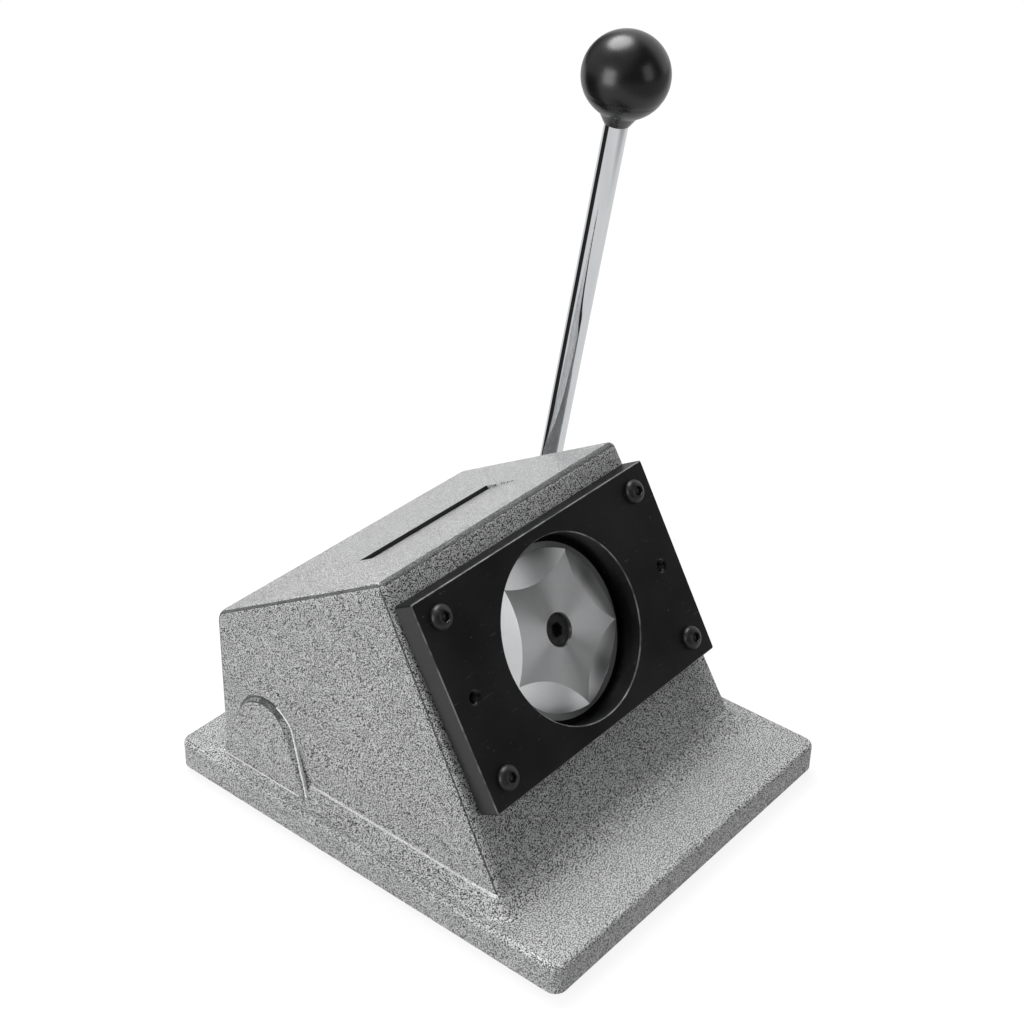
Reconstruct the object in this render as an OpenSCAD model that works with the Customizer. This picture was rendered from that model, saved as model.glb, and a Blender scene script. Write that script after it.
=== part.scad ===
// Hand lever cutter for paper circles: a cast body, a black die plate, and a
// round punch that a crank and a link push through a long die sleeve.

/* [Base] */
// Width of the base flange, side to side
base_width = 188; // [176:1:200]
// Depth of the base flange, front to back
base_depth = 218; // [210:1:240]
// Thickness of the base flange
flange_thickness = 14; // [11:0.5:18]
// Corner radius of the flange in plan
flange_corner_radius = 5.5; // [6:0.5:14]
// Rounding of the flange's upper edge
flange_edge_radius = 3.5; // [1:0.5:4.5]
// Height of the rubber feet under the flange
foot_height = 2.5; // [1.5:0.5:6]
// Diameter of a rubber foot
foot_diameter = 20; // [14:1:24]
// Distance of each foot's centre from the flange's edges
foot_inset = 13; // [12.5:0.5:18]

/* [Body] */
// Angle of the front face above the horizontal
front_angle = 60; // [58:0.5:62]
// Setback of the front face from the flange's front edge
body_front_setback = 37; // [30:1:40]
// Setback of the back wall from the flange's back edge
body_back_setback = 17.5; // [14:1:22]
// Length of the front face up its slope
face_length = 142.5; // [140:0.5:150]
// Length of the top face down to the back wall
top_length = 108.6; // [106:0.2:112]
// Width of the body at the flange
body_base_width = 165; // [158:1:168]
// Width of the body at the front edge of the top face
body_front_width = 153; // [150:1:160]
// Width of the body at the back edge of the top face
body_back_width = 161; // [152:1:164]
// Wall thickness of the casting
wall = 6.5; // [5:0.5:7.5]
// Rounding of the body's outer edges
body_edge_radius = 4.5; // [2:0.5:6]
// Fillet between the body and the flange
base_fillet = 9; // [4:1:12]

/* [Die plate] */
// Width of the die plate
plate_width = 150; // [140:1:153]
// Height of the die plate up the slope
plate_height = 92; // [90:1:98]
// Thickness of the die plate
plate_thickness = 11.5; // [9:0.5:16]
// Chamfer on the die plate's front edges
plate_chamfer = 0.7; // [0.3:0.1:1.5]
// Diameter of the opening that the cut discs leave by
opening_diameter = 81; // [78:0.5:84]
// Distance of the punch axis up the front face
axis_height = 85.4; // [82:0.2:88]
// Spacing of the plate screws, side to side
screw_spacing_x = 127; // [118:1:134]
// Spacing of the plate screws up the slope
screw_spacing_y = 71; // [68:1:76]
// Spacing of the two tapped holes at mid height
tapped_spacing = 126; // [116:1:134]
// Thread diameter of the plate screws and the tapped holes
plate_thread = 6; // [5:0.5:6.5]
// Depth of the two tapped holes
tapped_depth = 9; // [6:0.5:9]

/* [Punch and die] */
// Diameter of the paper circle, and of the punch
punch_diameter = 70; // [69:0.1:71]
// How far the punch face stands out of the die sleeve in front
punch_reach = 3; // [1:0.5:5]
// Thickness of the punch head
punch_thickness = 14; // [12:0.5:15]
// Number of scallops ground into the punch face
scallop_count = 5; // [3:1:8]
// Radius at which a scallop starts on the punch face
scallop_inner_radius = 22.5; // [20:0.5:28]
// Radius of the wheel that grinds the scallops
scallop_wheel_radius = 160; // [120:5:240]
// Tilt of a scallop towards the rim
scallop_tilt = 14; // [10:1:16]
// Outer diameter of the die sleeve and the guide sleeve
sleeve_diameter = 86; // [84:0.5:88]
// Distance of the paper gap behind the front face
gap_depth = 48.6; // [46:0.2:50]
// Width of the paper gap
paper_gap = 3.4; // [2:0.2:4]
// Distance of the guide sleeve's end in front of the pivot shaft
guide_margin = 22.5; // [21:0.5:26]
// Width of the paper slot in the top face
slot_width = 82; // [78:1:86]
// Depth of the sloped relief in front of the slot
relief_depth = 1.2; // [0.6:0.2:2]
// Length of the sloped relief in front of the slot
relief_length = 22; // [16:1:26]

/* [Crank and lever] */
// Distance of the pivot shaft behind the front face
shaft_depth = 106.5; // [106:0.1:107]
// Distance of the wrist pin behind the front face, with the punch in front
wrist_depth = 30.7; // [30.3:0.1:31.6]
// Angle of the crank off its dead centre with the punch in front
crank_rest_angle = 4; // [2:0.5:6]
// Diameter of the pivot shaft
shaft_diameter = 16; // [14:0.5:16]
// Diameter of the crank pin and the wrist pin
pin_diameter = 10; // [8:0.5:10]
// Width of the link
link_width = 16; // [12:1:16]
// Thickness of one crank web
web_width = 8; // [6:0.5:8]
// Distance of the ball knob's centre from the pivot shaft
lever_length = 263.8; // [220:1:320]
// Lean of the lever towards the front, off the vertical
lever_lean = 9.6; // [5:0.1:12]
// Diameter of the lever rod
rod_diameter = 10.5; // [8:0.5:12]
// Diameter of the ball knob
knob_diameter = 38; // [30:1:45]
// Gap between the body's right boss and the lever hub
lever_gap = 1; // [0.5:0.5:8]
// Width of the lever hub
hub_width = 20; // [16:1:20]
// Diameter of the lever hub
hub_diameter = 28; // [26:1:34]

/* [Hidden] */
$fn = 64;

// clearances and common small sizes
overrun = 1;
running_clearance = 0.05;
seat_clearance = 0.2;
side_clearance = 0.5;
face_gap = 0.3;
hull_facets = 24;
step_film = 0.05;
bush_wall = 3;
socket_facets = 6;

// feet, cover and the screws that hold them
cover_thickness = 2;
cover_border = 9;
cover_screw_diameter = 4;
cover_screw_length = 10;
cover_screw_head = 7.5;
cover_screw_sink = 1.75;
cover_corner_cut = 12.5;
cover_screw_inset = 8;
cover_screw_edge = 4.5;
foot_screw_diameter = 4;
foot_screw_length = 9;
foot_screw_head = 8;
foot_recess = 1.4;
foot_head_height = 0.7;

// the casting in the plane seen from the side: y to the back, z up
flange_bottom = 0;
flange_top = flange_bottom + flange_thickness;
face_foot_y = -base_depth / 2 + body_front_setback;
back_foot_y = base_depth / 2 - body_back_setback;
face_top_y = face_foot_y + face_length * cos(front_angle);
face_top_z = flange_top + face_length * sin(front_angle);
back_top_y = face_top_y + top_length * sin(front_angle);
back_top_z = face_top_z - top_length * cos(front_angle);
cavity_half = body_front_width / 2 - wall;
cavity_front_y = face_foot_y + wall / sin(front_angle);
cavity_back_y = back_foot_y - wall;
cavity_middle_y = (cavity_front_y + cavity_back_y) / 2;
cavity_length = cavity_back_y - cavity_front_y;

// the punch axis starts where it leaves the front face
axis_y = face_foot_y + axis_height * cos(front_angle);
axis_z = flange_top + axis_height * sin(front_angle);
top_offset = face_length - axis_height;
shaft_y = axis_y + shaft_depth * sin(front_angle);
shaft_z = axis_z - shaft_depth * cos(front_angle);

// fillet steps as shares of the fillet's radius: height first, then reach
fillet_shares = [[0, 1], [0.13, 0.5], [0.42, 0.18], [1, 0]];

// the shaft's bosses in the side walls
boss_radius = 17;
boss_bevel = 4;
boss_stand = 5;
boss_length = 16;
boss_cap = 3;
boss_root = body_base_width / 2 - boss_stand;
boss_reach = body_base_width / 2 + boss_stand;
boss_inner = cavity_half - boss_length;
boss_tip_y = 42;
boss_tip_radius = 2.5;
boss_back_y = 82;
boss_back_radius = 3.5;
bush_flange = 2;
bush_flange_radius = 14;
shaft_left_end = body_base_width / 2 - boss_cap;

// the tube that carries the two sleeves
tube_wall = 9;
sleeve_rib = 2;
tube_radius = sleeve_diameter / 2 + tube_wall;
guide_start = gap_depth + paper_gap;
guide_end = shaft_depth - guide_margin;
guide_length = guide_end - guide_start;
tube_floor = flange_bottom + cover_thickness + face_gap;
sleeve_screw_diameter = 5;
sleeve_screw_length = 8;

// throw of the crank, and length of the link: both lie nearly on the punch axis
crank_throw = (shaft_depth - wrist_depth) / 2 / cos(crank_rest_angle);
crank_pin_depth = shaft_depth - crank_throw * cos(crank_rest_angle);
crank_pin_rise = crank_throw * sin(crank_rest_angle);

// the notch that lets the crank swing
notch_lead = 2.6;
notch_start = crank_pin_depth - notch_lead;
notch_clearance = 2;
notch_half = link_width / 2 + web_width + notch_clearance;
slot_bottom = 50;

// plate screws
plate_screw_length = 22;
button_head_radius = 5.4;
button_head_height = 3.3;
button_socket = 4;
button_socket_depth = 2;
// outline of a button head as shares of its radius and its height
button_shares = [[0, 0], [1, 0], [1, 0.18], [0.93, 0.46], [0.8, 0.72], [0.62, 0.92], [0.46, 1], [0, 1]];
screw_clearance = 0.3;

// paper stop
stop_top = 41;
stop_length = 60;

// punch, ram, and the screw that holds them together
punch_bore_diameter = 8.5;
counterbore_diameter = 15;
counterbore_depth = 9.5;
cap_thread = 8;
cap_head_diameter = 13;
cap_head_height = 8;
cap_socket = 6;
cap_socket_depth = 4;
cap_length = 14;
ram_disc = 13;
eye_radius = 9;
cheek_width = 8;
ram_skirt_drop = 12;
spigot_diameter = 30;
spigot_height = 2;
clip_thickness = 1.2;
clip_width = 1.4;
pin_overhang = 2.4;
ram_end_margin = 0.6;
cap_hole_depth = 16;

// the crank and the link lie side by side from the middle outwards
web_start = link_width / 2 + side_clearance;
web_end = web_start + web_width;
cheek_start = web_end + side_clearance;
cheek_end = cheek_start + cheek_width;
crank_hub_radius = 12.9;
ram_front = punch_thickness - punch_reach;
ram_disc_end = ram_front + ram_disc;
ram_end = wrist_depth + eye_radius + ram_end_margin;
link_bush_wall = 1.5;
link_waist = 13;
web_waist = 15.4;
key_width = 4;
key_height = 4;
key_length = web_width;

// lever hub and rod
hub_inner = boss_reach + lever_gap;
hub_outer = hub_inner + hub_width;
lever_plane = (hub_inner + hub_outer) / 2;
shaft_right_end = hub_outer - side_clearance;
rod_thread = 8;
rod_thread_length = 9;
rod_socket_radius = 9;
rod_start = hub_diameter / 2 + 7;
rod_nut_height = 5;
rod_nut_width = 14;
hub_washer_radius = 11;
hub_washer_thickness = 1.6;
hub_bolt = 6;
hub_bolt_length = 16;
hub_bolt_head_width = 10;
hub_bolt_head_height = 4;
hub_set_diameter = 6;
hub_set_length = 5.5;
hub_set_socket = 2.5;
knob_collar_radius = 6.4;
knob_collar_length = 4;
knob_collar_start = 20.5;
insert_radius = 6;
insert_length = 16;
rod_grip = 12;

// ---- frames of reference ----

// Local x stays, local y runs up the front face, local z runs out of it
module on_face() {
    translate([0, axis_y, axis_z])
        rotate([front_angle, 0, 0])
            children();
}

// At a depth behind the face, and a rise above the punch axis
module on_axis(depth = 0, rise = 0) {
    on_face()
        translate([0, rise, -depth])
            children();
}

// The pivot shaft's middle, x along the shaft
module on_shaft() {
    translate([0, shaft_y, shaft_z])
        children();
}

// Local z runs up the lever from the pivot shaft
module on_lever() {
    translate([lever_plane, shaft_y, shaft_z])
        rotate([lever_lean, 0, 0])
            children();
}

// A cylinder along x between two places
module x_cylinder(x1, x2, r) {
    translate([x1, 0, 0])
        rotate([0, 90, 0])
            cylinder(h = x2 - x1, r = r);
}

module x_tube(x1, x2, r, bore) {
    difference() {
        x_cylinder(x1, x2, r);
        x_cylinder(x1 - overrun, x2 + overrun, bore);
    }
}

module box_between(a, b) {
    translate(a)
        cube(b - a);
}

module at_corners(dx, dy) {
    for (sx = [-1, 1])
        for (sy = [-1, 1])
            translate([sx * dx / 2, sy * dy / 2, 0])
                children();
}

module hex_socket(width, depth) {
    cylinder(h = depth, r = width / sqrt(3), $fn = socket_facets);
}

// ---- casting ----

module flange_slab() {
    hull()
        at_corners(base_width - 2 * flange_corner_radius, base_depth - 2 * flange_corner_radius)
            translate([0, 0, flange_bottom])
                rotate_extrude($fn = hull_facets) {
                    square([flange_corner_radius, flange_thickness - flange_edge_radius]);
                    translate([flange_corner_radius - flange_edge_radius,
                        flange_thickness - flange_edge_radius])
                        intersection() {
                            circle(r = flange_edge_radius, $fn = hull_facets);
                            square(flange_edge_radius);
                        }
                }
}

// The body's outline in plan at one height above the flange, with a reach
module body_outline(up, reach) {
    front = face_foot_y + up / tan(front_angle) - reach;
    back = back_foot_y + up * (back_top_y - back_foot_y) / (back_top_z - flange_top) + reach;
    half = body_base_width / 2 + reach;
    translate([0, 0, flange_top + up])
        linear_extrude(height = step_film)
            polygon([[-half + body_edge_radius, front], [half - body_edge_radius, front],
                [half, front + body_edge_radius], [half, back - body_edge_radius],
                [half - body_edge_radius, back], [-half + body_edge_radius, back],
                [-half, back - body_edge_radius], [-half, front + body_edge_radius]]);
}

module fillet_step(i) {
    hull() {
        body_outline(fillet_shares[i][0] * base_fillet, fillet_shares[i][1] * base_fillet);
        body_outline(fillet_shares[i + 1][0] * base_fillet, fillet_shares[i + 1][1] * base_fillet);
    }
}

// One rounded corner of the body, pulled in by its edge radius
module body_ball(x, y, z) {
    translate([x, y, z])
        sphere(r = body_edge_radius, $fn = hull_facets);
}

module wedge() {
    inset = body_edge_radius;
    base_half = body_base_width / 2 - inset;
    front_half = body_front_width / 2 - inset;
    back_half = body_back_width / 2 - inset;
    hull()
        for (side = [-1, 1]) {
            translate([side * base_half, face_foot_y + inset, flange_top])
                cylinder(h = step_film, r = inset, $fn = hull_facets);
            translate([side * base_half, back_foot_y - inset, flange_top])
                cylinder(h = step_film, r = inset, $fn = hull_facets);
            body_ball(side * front_half,
                face_top_y + inset * (sin(front_angle) - cos(front_angle)),
                face_top_z - inset * (sin(front_angle) + cos(front_angle)));
            body_ball(side * back_half, back_top_y - inset,
                back_top_z - inset * (1 - cos(front_angle)) / sin(front_angle));
        }
}

// Cast boss outside each side wall, for the pivot shaft
module side_boss(side) {
    intersection() {
        hull()
            for (spot = [[shaft_y, shaft_z, boss_radius],
                    [boss_tip_y, flange_top, boss_tip_radius],
                    [boss_back_y, flange_top + boss_back_radius, boss_back_radius]])
                translate([side * boss_root, spot[0], spot[1]])
                    rotate([0, side * 90, 0])
                        cylinder(h = boss_reach - boss_root, r1 = spot[2] + boss_bevel, r2 = spot[2],
                            $fn = hull_facets);
        box_between([-base_width, 0, flange_top], [base_width, base_depth, face_top_z]);
    }
}

module cavity() {
    translate([-cavity_half, 0, 0])
        rotate([90, 0, 90])
            linear_extrude(height = 2 * cavity_half)
                polygon([
                    [cavity_front_y, flange_top],
                    [axis_y + cos(front_angle) * (top_offset - wall) + sin(front_angle) * wall,
                        axis_z + sin(front_angle) * (top_offset - wall) - cos(front_angle) * wall],
                    [cavity_back_y, axis_z + (top_offset - wall) / sin(front_angle)
                        - (cavity_back_y - axis_y) / tan(front_angle)],
                    [cavity_back_y, flange_bottom - overrun],
                    [cavity_front_y, flange_bottom - overrun]]);
}

// The cover's outline, grown on every side; its cut corners clear the feet
module cover_block(grow, height) {
    x = cavity_half + cover_border + grow;
    y = cavity_length / 2 + cover_border + grow;
    cut = cover_corner_cut;
    translate([0, cavity_middle_y, 0])
        linear_extrude(height = height)
            polygon([[-x + cut, -y], [x - cut, -y], [x, -y + cut], [x, y - cut],
                [x - cut, y], [-x + cut, y], [-x, y - cut], [-x, -y + cut]]);
}

module cover_screw_places() {
    translate([0, cavity_middle_y, flange_bottom])
        at_corners(2 * (cavity_half + cover_screw_edge), cavity_length - 2 * cover_screw_inset)
            children();
}

module foot_places() {
    at_corners(base_width - 2 * foot_inset, base_depth - 2 * foot_inset)
        children();
}

module plate_screw_places() {
    on_face()
        at_corners(screw_spacing_x, screw_spacing_y)
            children();
}

// The carrier tube behind the front face, cut off level above the cover
module carrier_tube() {
    intersection() {
        on_axis(guide_end)
            cylinder(h = guide_end - wall / 2, r = tube_radius);
        box_between([-tube_radius, axis_y - tube_radius, tube_floor],
            [tube_radius, back_foot_y - wall / 2, face_top_z]);
    }
}

module shaft_boss_inside(side) {
    on_shaft()
        x_cylinder(side > 0 ? boss_inner : -cavity_half - overrun,
            side > 0 ? cavity_half + overrun : -boss_inner, boss_radius + bush_wall);
}

module plate_screw_boss() {
    translate([0, 0, -plate_screw_length + plate_thickness - wall])
        cylinder(h = plate_screw_length - plate_thickness + wall / 2, r = plate_thread);
}

module paper_path() {
    on_axis(guide_start)
        translate([-slot_width / 2, -slot_bottom, 0])
            cube([slot_width, slot_bottom + top_offset + overrun, paper_gap]);
}

module slot_relief() {
    on_face()
        translate([-slot_width / 2, 0, 0])
            rotate([90, 0, 90])
                linear_extrude(height = slot_width)
                    polygon([[top_offset - relief_depth, -guide_start],
                        [top_offset + overrun, -guide_start],
                        [top_offset + overrun, -guide_start + relief_length
                            + relief_length * overrun / relief_depth]]);
}

module crank_notch() {
    on_axis(guide_end + overrun)
        translate([-notch_half, 0, 0])
            cube([2 * notch_half, top_offset - wall - side_clearance, guide_end + overrun - notch_start]);
}

// The foot of the one-piece casting: flange and fillet, with a way through to the inside
module base_flange() {
    color("#8b8c8c")
        difference() {
            union() {
                flange_slab();
                for (i = [0 : len(fillet_shares) - 2])
                    fillet_step(i);
            }
            // the body stands inside the fillet
            body_outside();
            cavity();
            // the cover lies in a rebate of the underside
            translate([0, 0, flange_bottom - overrun])
                cover_block(seat_clearance, cover_thickness + overrun);
            cover_screw_places()
                cylinder(h = cover_screw_length + overrun, r = cover_screw_diameter / 2 + running_clearance);
            foot_places()
                translate([0, 0, -overrun])
                    cylinder(h = foot_screw_length, r = foot_screw_diameter / 2 + running_clearance);
        }
}

module body_outside() {
    wedge();
    side_boss(-1);
    side_boss(1);
}

module body_casting() {
    color("#8b8c8c")
        difference() {
            union() {
                difference() {
                    body_outside();
                    cavity();
                }
                carrier_tube();
                shaft_boss_inside(-1);
                shaft_boss_inside(1);
                plate_screw_places()
                    plate_screw_boss();
            }
            // bores for the sleeves, with a rib left at the paper gap
            on_axis(gap_depth)
                cylinder(h = gap_depth + overrun, r = sleeve_diameter / 2 + seat_clearance / 2);
            on_axis(guide_end + overrun)
                cylinder(h = guide_length + overrun, r = sleeve_diameter / 2 + seat_clearance / 2);
            on_axis(guide_end)
                cylinder(h = guide_end, r = sleeve_diameter / 2 - sleeve_rib);
            paper_path();
            slot_relief();
            crank_notch();
            // bores for the shaft's bushes; the left one is blind
            on_shaft()
                x_cylinder(-shaft_left_end, boss_reach + overrun,
                    shaft_diameter / 2 + bush_wall + seat_clearance / 2);
            plate_screw_places()
                translate([0, 0, -plate_screw_length + plate_thickness - overrun])
                    cylinder(h = plate_screw_length, r = plate_thread / 2 + running_clearance);
            on_axis(guide_end)
                sleeve_screw_spots()
                    cylinder(h = tube_wall + overrun, r = sleeve_screw_diameter / 2 + running_clearance);
        }
}

// Half way along the guide sleeve, on its left and its right
module sleeve_screw_spots() {
    for (side = [-1, 1])
        translate([side * sleeve_diameter / 2, 0, guide_length / 2])
            rotate([0, side * 90, 0])
                children();
}

// ---- front plate and sleeves ----

module chamfered_plate() {
    half_w = plate_width / 2;
    half_h = plate_height / 2;
    difference() {
        translate([-half_w, -half_h, 0])
            cube([plate_width, plate_height, plate_thickness]);
        for (side = [-1, 1]) {
            translate([side * half_w, 0, plate_thickness])
                rotate([0, 45, 0])
                    cube([plate_chamfer * sqrt(2), plate_height + 2 * overrun, plate_chamfer * sqrt(2)],
                        center = true);
            translate([0, side * half_h, plate_thickness])
                rotate([45, 0, 0])
                    cube([plate_width + 2 * overrun, plate_chamfer * sqrt(2), plate_chamfer * sqrt(2)],
                        center = true);
        }
    }
}

module die_plate() {
    color("#1d1d1f")
        on_face()
            difference() {
                chamfered_plate();
                translate([0, 0, -overrun])
                    cylinder(h = plate_thickness + 2 * overrun, r = opening_diameter / 2);
                // a narrow chamfer at the mouth of the opening
                translate([0, 0, plate_thickness - plate_chamfer])
                    cylinder(h = plate_chamfer + overrun, r1 = opening_diameter / 2,
                        r2 = opening_diameter / 2 + plate_chamfer + overrun);
                at_corners(screw_spacing_x, screw_spacing_y)
                    translate([0, 0, -overrun])
                        cylinder(h = plate_thickness + 2 * overrun, r = plate_thread / 2 + screw_clearance);
                for (side = [-1, 1])
                    translate([side * tapped_spacing / 2, 0, plate_thickness - tapped_depth])
                        cylinder(h = tapped_depth + overrun, r = plate_thread / 2);
            }
}

module button_screw() {
    difference() {
        union() {
            translate([0, 0, plate_thickness])
                rotate_extrude()
                    polygon([for (share = button_shares)
                        [share[0] * button_head_radius, share[1] * button_head_height]]);
            translate([0, 0, plate_thickness - plate_screw_length])
                cylinder(h = plate_screw_length + button_head_height / 2, r = plate_thread / 2);
        }
        translate([0, 0, plate_thickness + button_head_height - button_socket_depth])
            hex_socket(button_socket, button_socket_depth + overrun);
    }
}

module plate_screws() {
    color("#2b2b2d")
        plate_screw_places()
            button_screw();
}

module die_sleeve() {
    color("#b9babc")
        on_axis(gap_depth)
            difference() {
                cylinder(h = gap_depth, r = sleeve_diameter / 2);
                translate([0, 0, -overrun])
                    cylinder(h = gap_depth + 2 * overrun, r = punch_diameter / 2 + running_clearance);
            }
}

module guide_sleeve() {
    color("#a9abad")
        difference() {
            on_axis(guide_end)
                difference() {
                    cylinder(h = guide_length, r = sleeve_diameter / 2);
                    translate([0, 0, -overrun])
                        cylinder(h = guide_length + 2 * overrun, r = punch_diameter / 2 + running_clearance);
                }
            crank_notch();
        }
}

module sleeve_screws() {
    color("#2b2b2d")
        on_axis(guide_end)
            sleeve_screw_spots()
                translate([0, 0, seat_clearance / 2])
                    difference() {
                        cylinder(h = sleeve_screw_length, r = sleeve_screw_diameter / 2);
                        translate([0, 0, sleeve_screw_length - sleeve_screw_diameter / 2])
                            hex_socket(sleeve_screw_diameter / 2, sleeve_screw_diameter);
                    }
}

// A small bar across the foot of the paper gap, on which the sheet stands
module paper_stop() {
    color("#9a9b9d")
        on_axis(guide_start - running_clearance)
            translate([-stop_length / 2, -slot_bottom + face_gap, 0])
                cube([stop_length, slot_bottom - stop_top - face_gap, paper_gap - 2 * running_clearance]);
}

// ---- punch, ram and their screw ----

module punch_head() {
    color("#c3c4c6")
        on_axis(punch_thickness - punch_reach)
            difference() {
                cylinder(h = punch_thickness, r = punch_diameter / 2);
                for (i = [0 : scallop_count - 1])
                    rotate([0, 0, -90 + i * 360 / scallop_count + 180 / scallop_count])
                        translate([scallop_inner_radius, 0, punch_thickness])
                            rotate([0, scallop_tilt, 0])
                                translate([-punch_diameter / 2, 0, scallop_wheel_radius])
                                    rotate([0, 90, 0])
                                        cylinder(h = punch_diameter * 2, r = scallop_wheel_radius, $fn = 192);
                translate([0, 0, -overrun])
                    cylinder(h = punch_thickness + 2 * overrun, r = punch_bore_diameter / 2);
                translate([0, 0, punch_thickness - counterbore_depth])
                    cylinder(h = counterbore_depth + overrun, r = counterbore_diameter / 2);
                translate([0, 0, -overrun])
                    cylinder(h = spigot_height + overrun, r = spigot_diameter / 2 + running_clearance);
            }
}

module punch_screw() {
    seat = counterbore_depth - punch_reach;
    color("#252527")
        on_axis(seat)
            difference() {
                union() {
                    cylinder(h = cap_head_height, r = cap_head_diameter / 2);
                    translate([0, 0, -cap_length])
                        cylinder(h = cap_length + cap_head_height / 2, r = cap_thread / 2);
                }
                translate([0, 0, cap_head_height - cap_socket_depth])
                    hex_socket(cap_socket, cap_socket_depth + overrun);
            }
}

module ram() {
    color("#8f9295")
        difference() {
            union() {
                on_axis(ram_disc_end)
                    cylinder(h = ram_disc, r = punch_diameter / 2);
                on_axis(ram_front)
                    cylinder(h = spigot_height, r = spigot_diameter / 2);
                // clevis cheeks around the wrist pin
                for (side = [-1, 1])
                    on_axis(wrist_depth)
                        translate([side * (cheek_start + cheek_end) / 2 - cheek_width / 2, 0, 0]) {
                            rotate([0, 90, 0])
                                cylinder(h = cheek_width, r = eye_radius);
                            translate([0, -eye_radius, 0])
                                cube([cheek_width, 2 * eye_radius, wrist_depth - ram_disc_end + overrun]);
                        }
                // lower skirt that keeps the ram straight in its guide
                intersection() {
                    on_axis(ram_end)
                        cylinder(h = ram_end - ram_disc_end + overrun, r = punch_diameter / 2);
                    on_axis(ram_end)
                        translate([-punch_diameter / 2, -punch_diameter / 2, 0])
                            cube([punch_diameter, punch_diameter / 2 - ram_skirt_drop,
                                ram_end - ram_disc_end + overrun]);
                }
            }
            // pocket for the link's eye
            on_axis(wrist_depth + eye_radius)
                translate([-web_start, -eye_radius - side_clearance, 0])
                    cube([2 * web_start, punch_diameter, 2 * eye_radius + side_clearance]);
            on_axis(wrist_depth)
                x_cylinder(-cheek_end - overrun, cheek_end + overrun, pin_diameter / 2 + running_clearance);
            on_axis(wrist_depth)
                translate([0, 0, wrist_depth - ram_front - cap_hole_depth])
                    cylinder(h = cap_hole_depth + spigot_height + overrun, r = cap_thread / 2 + running_clearance);
        }
}

module wrist_pin() {
    color("#b5b6b8")
        on_axis(wrist_depth)
            x_cylinder(-cheek_end - pin_overhang, cheek_end + pin_overhang, pin_diameter / 2);
}

module wrist_pin_clips() {
    color("#3a3a3c")
        on_axis(wrist_depth)
            for (side = [-1, 1])
                translate([side * (cheek_end + clip_thickness), 0, 0])
                    x_tube(-clip_thickness / 2, clip_thickness / 2, pin_diameter / 2 + clip_width,
                        pin_diameter / 2 + running_clearance);
}

// ---- link and crank ----

// A flat bar with an eye at each end, between the wrist pin and the crank pin
module link() {
    color("#7f8285")
        on_axis(wrist_depth)
            rotate([crank_rest_angle, 0, 0])
                difference() {
                    union() {
                        x_cylinder(-link_width / 2, link_width / 2, eye_radius);
                        translate([0, 0, -crank_throw])
                            x_cylinder(-link_width / 2, link_width / 2, eye_radius);
                        translate([-link_width / 2, -link_waist / 2, -crank_throw])
                            cube([link_width, link_waist, crank_throw]);
                    }
                    for (end = [0, 1])
                        translate([0, 0, -end * crank_throw])
                            x_cylinder(-link_width, link_width, pin_diameter / 2 + link_bush_wall);
                }
}

module link_bushes() {
    color("#b08a4a")
        on_axis(wrist_depth)
            rotate([crank_rest_angle, 0, 0])
                for (end = [0, 1])
                    translate([0, 0, -end * crank_throw])
                        x_tube(-link_width / 2, link_width / 2, pin_diameter / 2 + link_bush_wall,
                            pin_diameter / 2 + running_clearance);
}

module crank_pin() {
    color("#b5b6b8")
        on_axis(crank_pin_depth, crank_pin_rise)
            x_cylinder(-web_end, web_end, pin_diameter / 2);
}

// One web: a hub on the shaft, an eye on the crank pin, and a waist between
module crank_web(side) {
    start = side > 0 ? web_start : -web_end;
    color("#75787b")
        on_axis(shaft_depth)
            rotate([-crank_rest_angle, 0, 0])
                difference() {
                    union() {
                        x_cylinder(start, start + web_width, crank_hub_radius);
                        translate([0, 0, crank_throw])
                            x_cylinder(start, start + web_width, eye_radius);
                        translate([start, -web_waist / 2, 0])
                            cube([web_width, web_waist, crank_throw]);
                    }
                    x_cylinder(-web_end - overrun, web_end + overrun, shaft_diameter / 2);
                    translate([0, 0, crank_throw])
                        x_cylinder(-web_end - overrun, web_end + overrun, pin_diameter / 2);
                    crank_key_shape(start);
                }
}

module crank_key_shape(start) {
    translate([start, -key_width / 2, -shaft_diameter / 2 - key_height / 2])
        cube([web_width, key_width, key_height]);
}

module crank_web_left() {
    crank_web(-1);
}

module crank_web_right() {
    crank_web(1);
}

module crank_keys() {
    color("#5a5c5e")
        on_axis(shaft_depth)
            rotate([-crank_rest_angle, 0, 0])
                for (start = [-web_end, web_start])
                    crank_key_shape(start);
}

module pivot_shaft() {
    color("#aeb0b2")
        difference() {
            on_shaft()
                x_cylinder(-shaft_left_end + side_clearance, shaft_right_end, shaft_diameter / 2);
            on_axis(shaft_depth)
                rotate([-crank_rest_angle, 0, 0])
                    for (start = [-web_end, web_start])
                        crank_key_shape(start);
            on_shaft()
                x_cylinder(shaft_right_end - hub_bolt_length - overrun, shaft_right_end + overrun, hub_bolt / 2);
        }
}

module shaft_bush(side) {
    color("#b08a4a")
        on_shaft()
            mirror([side > 0 ? 0 : 1, 0, 0])
                difference() {
                    union() {
                        x_cylinder(boss_inner - bush_flange, side > 0 ? boss_reach : shaft_left_end - side_clearance,
                            shaft_diameter / 2 + bush_wall);
                        x_cylinder(boss_inner - bush_flange, boss_inner, bush_flange_radius);
                    }
                    x_cylinder(boss_inner - bush_flange - overrun, boss_reach + overrun,
                        shaft_diameter / 2 + running_clearance);
                }
}

module shaft_bush_left() {
    shaft_bush(-1);
}

module shaft_bush_right() {
    shaft_bush(1);
}

// ---- lever ----

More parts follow.
